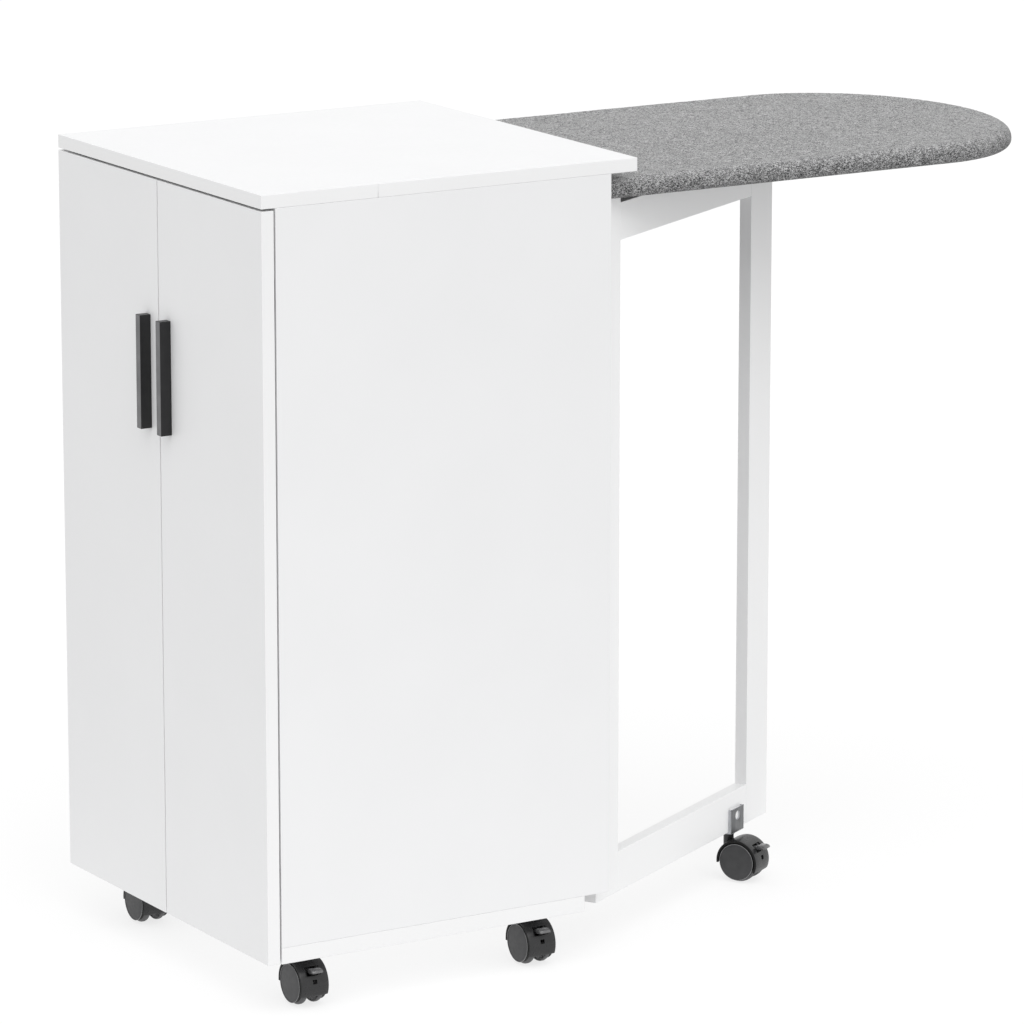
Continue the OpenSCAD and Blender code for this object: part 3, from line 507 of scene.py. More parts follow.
def modified(piece: Piece, kind: str, **settings: object) -> Piece:
    """Add a modifier to a piece.

    Args:
        piece: The object.
        kind: The modifier's type.
        **settings: The modifier's properties.

    Returns:
        The same object.
    """
    added = piece.modifiers.new(kind.lower(), kind)
    for key, value in settings.items():
        setattr(added, key, value)
    return piece


def even_shading(piece: Piece) -> Piece:
    """Keep large faces flat beside their rounded edges, by normals weighted by the faces' areas."""
    return modified(piece, "WEIGHTED_NORMAL", weight=100, keep_sharp=True)


def settle(piece: Piece) -> None:
    """Turn a piece's modifiers into its mesh.

    Args:
        piece: The object.
    """
    bpy.context.view_layer.update()
    graph = bpy.context.evaluated_depsgraph_get()
    mesh = bpy.data.meshes.new_from_object(piece.evaluated_get(graph))
    piece.modifiers.clear()
    piece.data = mesh


def carve(piece: Piece, mesh: Mesh) -> None:
    """Cut one body out of another.

    Args:
        piece: The body that stays.
        mesh: What is taken out of it.
    """
    cutter = placed("cutter", mesh)
    settle(modified(piece, "BOOLEAN", operation="DIFFERENCE", solver="EXACT", object=cutter))
    bpy.data.objects.remove(cutter)


def smooth_between(mesh: Mesh, limit: float = 35.0) -> Mesh:
    """Smooth a mesh's faces, and keep the edges that turn by more than an angle sharp.

    Args:
        mesh: The mesh.
        limit: The angle, in degrees.

    Returns:
        The same mesh.
    """
    with editing(mesh) as work:
        for face in work.faces:
            face.smooth = True
        for edge in work.edges:
            edge.smooth = edge.is_manifold and edge.calc_face_angle(0.0) < math.radians(limit)
    return mesh


def bevelled(work: BMesh, edges: list[bmesh.types.BMEdge], radius: float, steps: int) -> None:
    """Round edges of a bmesh by a radius, in so many steps."""
    bmesh.ops.bevel(
        work, geom=edges, offset=radius, offset_type="OFFSET", segments=steps, profile=0.5, affect="EDGES"
    )


def rounded_box(
    lo: Sequence[float], hi: Sequence[float], radius: float, steps: int = 2, thin_axis: int | None = None,
    slot: int = 0, name: str = "part",
) -> Mesh:
    """Make a box with rounded edges, in one material or with the next one round a panel's rim.

    Args:
        lo: Lowest corner.
        hi: Highest corner.
        radius: Radius of the edges.
        steps: Segments of each edge.
        thin_axis: Axis of a panel's thickness, or None.
        slot: The material's index.
        name: The mesh's name.

    Returns:
        The mesh.
    """
    lo, hi = Vector(lo), Vector(hi)
    middle = Matrix.Translation((lo + hi) / 2)
    mesh = bpy.data.meshes.new(name)
    with editing(mesh) as work:
        bmesh.ops.create_cube(work, size=1.0, matrix=middle @ Matrix.Diagonal((*(hi - lo), 1.0)))
        bevelled(work, work.edges[:], radius, steps)
        for face in work.faces:
            face.smooth = True
            rim = thin_axis is not None and abs(face.normal[thin_axis]) <= FACING
            face.material_index = slot + rim
    return mesh


def lathe(profile: Profile, turns: int) -> Mesh:
    """Make a body turned about Y.

    Args:
        profile: Radius, place along Y and material of the stretch that starts there.
        turns: Segments round the body.

    Returns:
        The mesh.
    """
    angles = [2 * math.pi * k / turns for k in range(turns)]
    mesh = bpy.data.meshes.new("part")
    with editing(mesh) as work:
        rings = []
        for radius, along, _ in profile:
            if radius == 0:
                rings.append([work.verts.new((0.0, along, 0.0))] * turns)
            else:
                ring = [work.verts.new((radius * math.cos(a), along, radius * math.sin(a))) for a in angles]
                rings.append(ring)
        for ring, after, (_, _, slot) in zip(rings, rings[1:], profile):
            for k in range(turns):
                corners = [ring[k], ring[(k + 1) % turns], after[(k + 1) % turns], after[k]]
                distinct = list(dict.fromkeys(corners))
                if len(distinct) > 2:
                    work.faces.new(distinct).material_index = slot
        bmesh.ops.recalc_face_normals(work, faces=work.faces[:])
    return mesh


def rod(radius: float, start: float, end: float, turns: int, slot: int = 0) -> Mesh:
    """Make a plain cylinder between two places along Y, with its material's index."""
    return lathe([(0.0, start, slot), (radius, start, slot), (radius, end, slot), (0.0, end, slot)], turns)


def plate(outline: Outline, start: float, end: float, radius: float = 0.0) -> Mesh:
    """Make a body from an outline in X and Z that is drawn out along Y.

    Args:
        outline: Corners in order.
        start: First place along Y.
        end: Last place along Y.
        radius: Radius of the edges.

    Returns:
        The mesh.
    """
    mesh = bpy.data.meshes.new("part")
    with editing(mesh) as work:
        near = [work.verts.new((x, start, z)) for x, z in outline]
        far = [work.verts.new((x, end, z)) for x, z in outline]
        work.faces.new(near)
        work.faces.new(far[::-1])
        for k in range(len(outline)):
            after = (k + 1) % len(outline)
            work.faces.new([near[k], far[k], far[after], near[after]])
        bmesh.ops.recalc_face_normals(work, faces=work.faces[:])
        if radius > 0:
            bevelled(work, [edge for edge in work.edges if edge.calc_face_angle(0.0) > 0.5], radius, 2)
    return mesh


def joined(parts: Iterable[tuple[Mesh, Matrix]], name: str = "part") -> Mesh:
    """Copy several bodies into one mesh.

    Args:
        parts: Each body's mesh, and where it goes.
        name: The new mesh's name.

    Returns:
        The new mesh.
    """
    mesh = bpy.data.meshes.new(name)
    with editing(mesh) as work:
        for part, place in parts:
            copy = part.copy()
            copy.transform(place)
            work.from_mesh(copy)
            bpy.data.meshes.remove(copy)
    return mesh


def arc(centre: Pair, radius: float, start: float, end: float, steps: int) -> Outline:
    """Return points on an arc, with angles in degrees."""
    angles = [math.radians(start + (end - start) * k / steps) for k in range(steps + 1)]
    return [(centre[0] + radius * math.cos(a), centre[1] + radius * math.sin(a)) for a in angles]


def box_in(node: str, space: Matrix) -> tuple[Vector, Vector]:
    """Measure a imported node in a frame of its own.

    Args:
        node: The node's name.
        space: The frame's matrix.

    Returns:
        Lowest and highest corner in that frame.
    """
    inverse = np.array(space.inverted())
    points = np.array([vertex.co for vertex in bpy.data.objects[node].data.vertices])
    local = points @ inverse[:3, :3].T + inverse[:3, 3]
    return Vector(local.min(0)), Vector(local.max(0))


def islands(node: str) -> list[np.ndarray]:
    """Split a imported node's points into its loose bodies.

    Args:
        node: The node's name.

    Returns:
        One array of points for each body.
    """
    work = bmesh.new()
    work.from_mesh(bpy.data.objects[node].data)
    bmesh.ops.remove_doubles(work, verts=work.verts[:], dist=MERGE)
    found, seen = [], set()
    for vertex in work.verts:
        if vertex in seen:
            continue
        group, queue = [], [vertex]
        seen.add(vertex)
        while queue:
            now = queue.pop()
            group.append(tuple(now.co))
            fresh = [edge.other_vert(now) for edge in now.link_edges]
            fresh = [other for other in fresh if other not in seen]
            seen.update(fresh)
            queue.extend(fresh)
        found.append(np.array(group))
    work.free()
    return found


@dataclass
class Workshop:
    """What every sub-assembly needs: the finishes, and a place to hang finished pieces."""

    finishes: Finishes
    made: list[str] = field(default_factory=list)
    board_edge: float = 0.0006

    def board(self, node: str, lo: Vector, hi: Vector, axis: int, face: Material | None = None) -> Piece:
        """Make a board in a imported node's box, with edging round its rim and a finish on its faces."""
        mesh = rounded_box(lo, hi, self.board_edge, 2, axis, name=node + "_board")
        return show(mesh, mesh.name, (face or self.finishes.decor, self.finishes.edging))

    def hang(self, piece: Piece, body: str, slot: str, *nodes: str) -> None:
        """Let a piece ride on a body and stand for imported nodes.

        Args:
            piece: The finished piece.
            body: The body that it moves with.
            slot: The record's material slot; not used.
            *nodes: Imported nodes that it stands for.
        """
        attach(piece, body)
        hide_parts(*nodes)
        self.made.append(piece.name)
        log.info("%s rides on %s", piece.name, body)

    def carry(self, node: str, material: Material, edge: float = 0.0) -> None:
        """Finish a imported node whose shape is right.

        Args:
            node: The node's name.
            material: Its finish.
            edge: Radius that softens its sharp edges, or 0.
        """
        piece = bpy.data.objects[node]
        piece.data.materials.clear()
        piece.data.materials.append(material)
        for polygon in piece.data.polygons:
            polygon.use_smooth = True
            polygon.material_index = 0
        modified(piece, "WELD", merge_threshold=MERGE)
        if edge > 0:
            limit = {"limit_method": "ANGLE", "angle_limit": math.radians(40.0)}
            modified(piece, "BEVEL", width=edge, segments=2, use_clamp_overlap=False, **limit)
        even_shading(modified(piece, "EDGE_SPLIT", split_angle=math.radians(38.0)))
        log.info("%s carried over", node)


@dataclass
class Carcass:
    """The cabinet's panels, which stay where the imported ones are, each with the axis of its thickness."""

    shop: Workshop
    panels: tuple[tuple[str, int], ...] = (
        ("top_panel", 2), ("left_side_panel", 0), ("right_side_panel", 0), ("bottom_panel", 2),
        ("back_panel", 1), ("lower_shelf", 2), ("upper_shelf", 2), ("hinge_rail", 1),
    )
    joint_y: float = -0.38895
    joint_w: float = 0.0005
    joint_d: float = 0.0004
    joint_edge: float = 0.00001
    catch_edge: float = 0.0005

    def build(self) -> None:
        """Make every panel, the edging's fine joint in the top's side edges, and the small things inside."""
        shop, zinc = self.shop, self.shop.finishes.zinc
        for node, axis in self.panels:
            lo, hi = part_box(node)
            piece = shop.board(node, lo, hi, axis)
            for x in (lo.x, hi.x) if node == "top_panel" else ():
                low = (x - self.joint_d, self.joint_y, lo.z - self.joint_d)
                high = (x + self.joint_d, self.joint_y + self.joint_w, hi.z + self.joint_d)
                carve(piece, rounded_box(low, high, self.joint_edge))
            shop.hang(even_shading(piece), "cabinet", "laminate", node)
        for node in ("shelf_pins", "door_hinge_arms", "caster_plates"):
            shop.carry(node, zinc, FITTING_EDGE)
        for node in ("cam_fittings", "bottom_screws", "board_hinge_pins", "leg_hinge_pins", "caster_stems"):
            shop.carry(node, zinc)
        for node in ("board_hinge_rail_leaves", "leg_hinge_side_leaves"):
            shop.carry(node, zinc, LEAF_EDGE)
        shop.carry("panel_dowels", shop.finishes.dowel)
        shop.carry("door_catch", shop.finishes.catch, self.catch_edge)


@dataclass
class Door:
    """One door with its handle bar, hinge cups and strike plate."""

    shop: Workshop
    side: Side
    handle_edge: float = 0.0005
    cup_r: float = 0.0175
    cup_depth: float = 0.0115
    cup_past: float = 0.01

    def build(self) -> None:
        """Make the door with a seat for each hinge cup, and its fittings."""
        shop, finishes = self.shop, self.shop.finishes
        name = self.side.name.lower()
        body = name + "_door"
        lo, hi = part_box(body)
        piece = shop.board(body, lo, hi, 1)
        for cup in islands(name + "_hinge_cups"):
            outer = cup[:, 0].max() if self.side is Side.RIGHT else cup[:, 0].min()
            middle = (outer - self.side.value * self.cup_r, 0.0, (cup[:, 2].max() + cup[:, 2].min()) / 2)
            cutter = rod(self.cup_r, hi.y - self.cup_depth, hi.y + self.cup_past, 96)
            cutter.transform(Matrix.Translation(middle))
            carve(piece, cutter)
        smooth_between(piece.data, 45.0)
        shop.hang(even_shading(piece), body, "laminate", body)
        self.build_handle(name, body)
        shop.carry(name + "_hinge_cups", finishes.zinc, LEAF_EDGE)
        shop.carry(name + "_strike_plate", finishes.zinc, FITTING_EDGE)

    def build_handle(self, name: str, body: str) -> None:
        """Make the bar with its coated black sides and a brushed front in a lighter grey, a painted
        reflection of the light on the black bar.

        Args:
            name: Name of the side.
            body: The door's body.
        """
        finishes = self.shop.finishes
        lo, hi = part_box(name + "_handle")
        mesh = rounded_box(lo, hi, self.handle_edge, 3, name=name + "_handle_bar")
        for face in mesh.polygons:
            # Painted reflection: the face towards -Y takes the lighter grey, and the other faces take the
            # black coat.
            face.material_index = int(face.normal.y < -FACING)
        piece = show(mesh, mesh.name, (finishes.handle_side, finishes.handle_front_painted_reflection))
        self.shop.hang(even_shading(piece), body, "black_metal", name + "_handle")


@dataclass
class GateLeg:
    """The swinging leg: two stiles and two rails in a frame turned about its hinge line."""

    shop: Workshop
    pivot: Vector
    angle: float = math.radians(30.0)
    bracket_h: float = 0.029
    bracket_t: float = 0.0015
    bracket_flange: float = 0.004
    bracket_edge: float = 0.0004
    hole_r: float = 0.0055
    hole_half: float = 0.02
    hole_up: float = 0.02
    pad_gap: float = 0.0001
    stem_r: float = 0.004
    stem_x: float = -0.009

    @property
    def space(self) -> Matrix:
        """The leg's own frame: X across it, Y along it from the hinge line."""
        return Matrix.Translation((self.pivot.x, self.pivot.y, 0.0)) @ Matrix.Rotation(self.angle, 4, "Z")

    def build(self) -> None:
        """Make the members, the bracket and the hinge leaves."""
        finishes = self.shop.finishes
        for node in ("leg_hinge_stile", "leg_outer_stile", "leg_upper_rail", "leg_lower_rail"):
            # Painted light: the members take the leg's lighter white, standing in for light where the board
            # above shades them.
            piece = self.shop.board(node, *box_in(node, self.space), 0, finishes.leg)
            piece.data.transform(self.space)
            self.shop.hang(even_shading(piece), "gate_leg", "laminate", node)
        self.shop.carry("leg_hinge_leaves", finishes.zinc, LEAF_EDGE)
        self.shop.carry("leg_dowels", finishes.dowel)
        self.build_bracket()

    def build_bracket(self) -> None:
        """Make the folded bracket with its open hole, the pad behind it and the stem of its caster. The
        flanges, the plate's edges and its hole's wall are pale zinc while the plate's front is dark brushed
        steel, a painted highlight on one folded plate.
        """
        finishes = self.shop.finishes
        lo, hi = box_in("leg_caster_bracket", self.space)
        t, edge = self.bracket_t, self.bracket_edge
        foot, inner, middle = hi.z - self.bracket_h, hi.x - self.bracket_flange, (lo.y + hi.y) / 2
        mesh = rounded_box((hi.x - t, lo.y, foot), hi, edge, name="leg_bracket_plate")
        piece = show(mesh, mesh.name, (finishes.bracket, finishes.zinc, finishes.leg))
        quarter = math.radians(90)
        hole = Matrix.Translation((hi.x, middle, foot + self.hole_up)) @ Matrix.Rotation(quarter, 4, "Z")
        carve(piece, joined([(rod(self.hole_r, -self.hole_half, self.hole_half, 64), hole)]))
        # Painted highlight: the plate's edges and hole wall take the pale zinc, and its front and back take
        # the dark brushed steel.
        for face in piece.data.polygons:
            face.material_index = int(abs(face.normal.x) <= FACING)
        pad = ((inner, lo.y + 2 * t, foot + 2 * t), (hi.x - t - self.pad_gap, hi.y - 2 * t, hi.z - t))
        upright = Matrix.Translation((self.stem_x, middle, 0.0)) @ Matrix.Rotation(quarter, 4, "X")
        parts = [
            # Painted highlight: the foot and side flanges are pale zinc too, lighter than the front of the
            # same folded plate.
            (rounded_box((lo.x, lo.y, foot), (hi.x, hi.y, foot + t), edge, slot=1), HERE),
            (rounded_box((inner, lo.y, foot), (hi.x, lo.y + t, hi.z), edge, slot=1), HERE),
            (rounded_box((inner, hi.y - t, foot), hi, edge, slot=1), HERE),
            (rod(self.stem_r, lo.z, foot, 48, 1), upright),
            (rounded_box(*pad, FITTING_EDGE, slot=2), HERE),
        ]
        with editing(piece.data) as work:
            work.from_mesh(joined(parts))
        piece.data.transform(self.space)
        smooth_between(piece.data)
        self.shop.hang(piece, "gate_leg", "bracket_steel", "leg_caster_bracket")


@dataclass
class PaddedBoard:
    """The ironing board: core, and a padded cloth cover with a rounded rim and a gathered hem.

    The fields up to spine_nose are lengths and shares of the cover's section and outline, and those up to
    shoulder_steps count its points. Nap, slack and gather are how far the cloth strays, each with its waves
    per metre.
    """

    shop: Workshop
    nose: float = 0.175
    rim: float = 0.008
    shoulder: float = 0.0135
    cloth: float = 0.0009
    hem: float = 0.033
    hem_fold: float = 0.0006
    under: tuple[float, ...] = (0.028, 0.022, 0.016, 0.012)
    crown: float = 0.0009
    round_end: float = 0.007
    round_least: float = 0.0005
    spine_from: float = 0.2
    spine_nose: float = 1.1
    around: int = 720
    inward: int = 26
    closing: float = 0.9
    nose_steps: int = 240
    corner_steps: int = 8
    shoulder_steps: int = 12
    nap: float = 0.00022
    nap_fine: float = 0.6
    nap_top: float = 0.4
    nap_from: float = 0.3
    nap_waves: Pair = (260.0, 610.0)
    slack: float = 0.0003
    slack_layer: float = 3.0
    slack_waves: float = 14.0
    under_z: float = 0.002
    gather: float = 0.00035
    gather_over: float = 0.02
    gather_stray: float = 3.0
    gather_waves: Pair = (290.0, 12.0)

    def __post_init__(self) -> None:
        """Measure the cover's space."""
        self.lo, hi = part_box("board_cover")
        self.half, self.length, self.thick = (hi.x - self.lo.x) / 2, hi.y - self.lo.y, hi.z - self.lo.z

    def build(self) -> None:
        """Make the cover and finish what it holds."""
        finishes = self.shop.finishes
        mesh = bpy.data.meshes.new("ironing_board_cover")
        mesh.from_pydata(*self.cover_surface())
        mesh.validate()
        with editing(mesh) as work:
            bmesh.ops.remove_doubles(work, verts=work.verts[:], dist=MERGE)
            bmesh.ops.recalc_face_normals(work, faces=work.faces[:])
            for face in work.faces:
                face.smooth = True
        cover = show(mesh, "ironing_board_cover", (finishes.cloth,))
        self.shop.hang(cover, "ironing_board", "cover_cloth", "board_cover", "board_pad")
        self.shop.carry("board_core", finishes.core)
        self.shop.carry("board_hinge_leaves", finishes.zinc, LEAF_EDGE)

    def outline(self, inset: float) -> Outline:
        """Return the outline at an inset, from the root's middle round the nose and back.

        Args:
            inset: Distance inside the outer outline.

        Returns:
            Evenly spaced points, with y from the root.
        """
        width, straight = self.half - inset, self.length - self.nose
        corner = max(self.round_end - inset / 2, self.round_least)
        turns = [math.pi * k / self.nose_steps for k in range(1, self.nose_steps)]
        line = [(0.0, inset), (width - corner, inset)]
        line += arc((width - corner, inset + corner), corner, -90.0, 0.0, self.corner_steps)
        line += [(width, straight)]
        line += [(width * math.cos(a), straight + (self.nose - inset) * math.sin(a)) for a in turns]
        line += [(-width, straight)]
        line += arc((corner - width, inset + corner), corner, 180.0, 270.0, self.corner_steps)
        rows = np.array([*line, (0.0, inset)])
        along = np.concatenate([[0.0], np.cumsum(np.hypot(*np.diff(rows, axis=0).T))])
        wanted = np.linspace(0.0, along[-1], self.around, endpoint=False)
        return list(zip(np.interp(wanted, along, rows[:, 0]), np.interp(wanted, along, rows[:, 1])))

    def section(self) -> list[Pair]:
        """Return the cover's section from the hem round the rim to the shoulder.

        Returns:
            Insets and heights.
        """
        rim, shoulder, thick = self.rim, self.shoulder, self.thick
        rings = [(self.hem, self.cloth), (self.hem + self.hem_fold, self.cloth / 2), (self.hem, 0.0)]
        rings += [(inset, 0.0) for inset in self.under]
        turns = [math.radians(-90.0 * k / self.corner_steps) for k in range(self.corner_steps + 1)]
        rings += [(rim * (1 + math.sin(a)), rim * (1 - math.cos(a))) for a in turns]
        rings += [(0.0, (rim + thick - shoulder) / 2)]
        turns = [math.radians(90.0 * k / self.shoulder_steps) for k in range(self.shoulder_steps + 1)]
        rings += [(shoulder * (1 - math.cos(a)), thick - shoulder * (1 - math.sin(a))) for a in turns]
        return rings

    def cover_surface(self) -> tuple[list[Triple], list, list[list[int]]]:
        """Work out the cover ring by ring, from the hem to the middle of the top.

        Returns:
            Points, no loose edges, and faces.
        """
        rings, around = self.section(), self.around
        points = [
            self.ruffled(x, y, inset, height) for inset, height in rings for x, y in self.outline(inset)
        ]
        inner = self.outline(self.shoulder)
        shares = [1 - (k / self.inward) ** self.closing for k in range(1, self.inward)] + [0.0]
        low, high = self.spine_from, self.length - self.nose * self.spine_nose
        for share in shares:
            height = self.thick + self.crown * (1 - share ** 3) - self.crown
            for x, y in inner:
                spine = min(max(y, low), high)
                points.append(self.ruffled(x * share, spine + (y - spine) * share, self.half, height))
        faces = [
            [k * around + i, k * around + j, (k + 1) * around + j, (k + 1) * around + i]
            for k in range(len(rings) + len(shares) - 1)
            for i, j in ((i, (i + 1) % around) for i in range(around))
        ]
        return points, [], faces

    def ruffled(self, x: float, y: float, inset: float, height: float) -> Triple:
        """Move a point by the cloth's nap, its slack and the gathers of the hem.

        Args:
            x: Place across the board.
            y: Place from the root.
            inset: Distance inside the outer outline.
            height: Height above the underside.

        Returns:
            The point in the model's frame.
        """
        spot, lo = Vector((x, y, height)), self.lo
        coarse, fine = (noise.noise(spot * waves) for waves in self.nap_waves)
        nap = self.nap * coarse + self.nap_fine * self.nap * fine
        slack = self.slack * noise.noise(Vector((x, y, self.slack_layer)) * self.slack_waves)
        if height < self.under_z:
            pull = self.gather * max(0.0, inset - self.under[-1]) / self.gather_over
            even, stray = self.gather_waves
            phase = (abs(x) + y) * even + self.gather_stray * noise.noise(spot * stray)
            return x, lo.y + y, lo.z + height + max(0.0, pull * (1 + math.sin(phase)) / 2)
        side = min(max((self.thick - height) / self.shoulder, 0.0), 1.0)
        share = self.nap_top + (1 - self.nap_top) * side
        out = Vector((x, y - self.nap_from, 0.0)).normalized() * nap * share
        down = (slack - self.slack + nap) * (1 - side)
        return x + out.x, lo.y + y + out.y, lo.z + min(height, self.thick) + down


@dataclass
class CasterShape:
    """Sizes and meshes that the five casters share, in the frame of the swivel axis on the floor.

    Angles are in degrees about the axle. The slot and the window are two angles and half a width. The
    wheel's face and back are radii, places along the axle from its outer and its inner side, and materials,
    and the neck is radii and heights beside neck_r and neck_z. All three are in mm.
    """

    finishes: Finishes
    trail: float = 18.5 * MM
    wheel_r: float = 24.0 * MM
    half_gap: float = 7.0 * MM
    half_span: float = 17.5 * MM
    hood_r: float = 26.2 * MM
    hood_t: float = 1.5 * MM
    hood_half: float = 17.0 * MM
    hood_fall: float = 0.5 * MM
    hood_edge: float = 0.3 * MM
    hood_rows: tuple[float, ...] = (0.005, 0.01, 0.012, 0.014, 0.0155, 0.0164)
    lip_r: float = 23.0 * MM
    hood_arc: Pair = (-25.0, 187.0)
    hood_step: float = 4.0
    hood_least: float = 0.9
    slot: Triple = (28.5, 52.5, 8.5 * MM)
    window: Triple = (6.6, 17.4, 2.6 * MM)
    web_half: float = 3.0 * MM
    web_edge: float = 0.2 * MM
    web_drop: float = 5.0 * MM
    web_turn: float = 12.0
    web_corner: Pair = (7.4 * MM, -3.6 * MM)
    neck_r: float = 6.0 * MM
    neck_z: Pair = (14.0 * MM, 55.7 * MM)
    neck_foot: tuple[Pair, ...] = ((-1.0, 0.0), (0.0, 1.0))
    neck_head: tuple[Pair, ...] = ((0.0, -3.5), (0.8, -3.0), (0.8, -0.6), (0.3, 0.0))
    boss_r: float = 5.5 * MM
    ear_r: float = 3.0 * MM
    ear_half: float = 2.5 * MM
    ear_lean: float = 6.0
    ear_y: Pair = (5.3 * MM, 6.6 * MM)
    pin_r: float = 1.2 * MM
    lever_r: float = 17.52 * MM
    lever_a: float = 62.0
    lever_turn: float = 6.0
    lever_half: float = 6.4 * MM
    lever_boss_half: float = 5.0 * MM
    arm_half: float = 4.4 * MM
    arm_edge: float = 0.4 * MM
    tab_edge: float = 0.5 * MM
    arm: tuple[Pair, ...] = ((0.0016, -0.0017), (0.0166, -0.0017), (0.0166, 0.0017), (0.0016, 0.0017))
    tab: tuple[Pair, ...] = (
        (0.013, -0.0017), (0.0222, -0.0017), (0.024, -0.0009), (0.0244, 0.0004),
        (0.0234, 0.0018), (0.0203, 0.0032), (0.0144, 0.0036), (0.013, 0.0026),
    )
    ridge_place: Triple = (0.02185, 0.0, 0.0025)
    ridge_turn: float = 24.3
    ridge_half: Triple = (0.3 * MM, 5.9 * MM, 0.5 * MM)
    ridge_edge: float = 0.1 * MM
    ridge_step: float = 1.1 * MM
    axle_r: float = 2.5 * MM
    axle_past: float = 0.6 * MM
    ribs: int = 48
    rib_r: Pair = (6.8 * MM, 22.2 * MM)
    rib_y: Pair = (0.3 * MM, 4.9 * MM)
    rib_half: float = 0.35 * MM
    # Material 1 paints a highlight on the thin edge ring of the face. Material 4 paints shade in near black
    # on the band between that ring and the tread, and on the wall and floor of the recess at the back.
    wheel_face: Profile = (
        (0.0, 0.0, 0), (12.0, -0.1, 0), (19.4, -0.4, 0), (20.8, -0.6, 0), (21.0, -0.2, 1), (21.4, 0.0, 1),
        (21.6, -0.4, 4), (21.7, -2.2, 4), (21.8, -3.8, 2), (22.9, -5.0, 2), (23.7, -6.0, 2), (24.0, -6.9, 2),
    )
    wheel_back: Profile = (
        (24.0, 1.4, 2), (23.7, 0.6, 2), (23.2, 0.0, 0), (22.0, 0.0, 4), (22.0, 4.6, 4), (7.0, 4.6, 0),
        (7.0, 0.4, 0), (0.0, 0.4, 0),
    )

    def polar(self, radius: float, angle: float) -> Pair:
        """Return the place in X and Z at a radius and an angle about the axle."""
        a = math.radians(angle)
        return self.trail + radius * math.cos(a), self.wheel_r + radius * math.sin(a)

    def hood_mesh(self) -> Mesh:
        """Make the hood's shell with its slot, its window and the lips at its sides.

        Returns:
            The mesh, with the lips in material 1, a near black that paints the shade on the hood's side lips.
        """
        first, last = self.hood_arc
        even = np.arange(first, last, self.hood_step).tolist()
        stops = sorted({*even, last, *self.slot[:2], *self.window[:2]})
        stops = [a for a, b in zip(stops, [*stops[1:], math.inf]) if b - a > self.hood_least]
        half = sorted({self.window[2], self.slot[2], self.hood_half, *self.hood_rows})
        side = [(y, self.hood_r - self.hood_fall * (y / self.hood_half) ** 5) for y in half]
        side.append((self.hood_half, self.lip_r))
        rows = [(-y, r) for y, r in reversed(side)] + [(0.0, self.hood_r)] + side
        materials = (self.finishes.hood, self.finishes.painted_shade_black)
        piece = show(bpy.data.meshes.new("hood_skin"), "hood_skin", materials)
        with editing(piece.data) as work:
            skin = {}
            for i, angle in enumerate(stops):
                for j, (y, radius) in enumerate(rows):
                    x, z = self.polar(radius, angle)
                    skin[i, j] = work.verts.new((x, y, z))
            for i, (a0, a1) in enumerate(zip(stops, stops[1:])):
                for j, (near, far) in enumerate(zip(rows, rows[1:])):
                    angle, y = (a0 + a1) / 2, abs(near[0] + far[0]) / 2
                    if not any(s < angle < e and y < w for s, e, w in (self.slot, self.window)):
                        corners = ((i, j), (i, j + 1), (i + 1, j + 1), (i + 1, j))
                        cell = work.faces.new([skin[corner] for corner in corners])
                        # Painted shade: the side lips take the near black, standing in for the shade on them
                        # and in the gap behind.
                        cell.material_index = int(j in (0, len(rows) - 2))
            bmesh.ops.delete(work, geom=[v for v in work.verts if not v.link_faces], context="VERTS")
            bmesh.ops.recalc_face_normals(work, faces=work.faces[:])
        modified(piece, "SOLIDIFY", thickness=self.hood_t, offset=-1.0)
        limit = {"limit_method": "ANGLE", "angle_limit": math.radians(50.0)}
        modified(piece, "BEVEL", width=self.hood_edge, segments=2, **limit)
        settle(piece)
        mesh = smooth_between(piece.data)
        bpy.data.objects.remove(piece)
        return mesh

    def frame_mesh(self) -> Mesh:
        """Make the web between the wheels with its neck, axle boss and the lever's ears.

        Returns:
            The mesh.
        """
        radius = self.hood_r - self.hood_t / 2
        low = math.degrees(math.asin(self.web_drop / radius))
        x, z = self.web_corner
        turns = (math.asin(z / radius), math.atan2(z, x), math.acos(x / radius))
        right, inward, left = (self.web_turn + math.degrees(turn) for turn in turns)
        axle = (self.trail, self.wheel_r)
        web = arc(axle, radius, -low, right, 6)
        web.append(self.polar(math.hypot(x, z), inward))
        web += arc(axle, radius, left, 180 + low, 36)
        foot, head = self.neck_z
        neck = [(0.0, foot, 0)]
        neck += [(self.neck_r + r * MM, foot + z * MM, 0) for r, z in self.neck_foot]
        neck += [(self.neck_r + r * MM, head + z * MM, 0) for r, z in self.neck_head]
        neck += [(0.0, head, 0)]
        px, pz = self.polar(self.lever_r, self.lever_a)
        lean = self.lever_a + self.ear_lean
        cos, sin = math.cos(math.radians(lean)), math.sin(math.radians(lean))
        reach = radius - self.lever_r
        ear = arc((px, pz), self.ear_r, lean + 90, lean + 270, 12)
        ear += [
            (px + reach * cos + half * sin, pz + reach * sin - half * cos)
            for half in (self.ear_half, -self.ear_half)
        ]
        inner, outer = self.ear_y
        boss = rod(self.boss_r, -self.half_gap, self.half_gap, 48)
        parts = [
            (plate(web, -self.web_half, self.web_half, self.web_edge), HERE),
            (lathe(neck, 64), Matrix.Rotation(math.radians(90), 4, "X")),
            (boss, Matrix.Translation((self.trail, 0.0, self.wheel_r))),
            (plate(ear, inner, outer), HERE),
            (plate(ear, -outer, -inner), HERE),
            (rod(self.pin_r, -outer, outer, 24), Matrix.Translation((px, 0.0, pz))),
        ]
        return smooth_between(joined(parts, "caster_frame"))

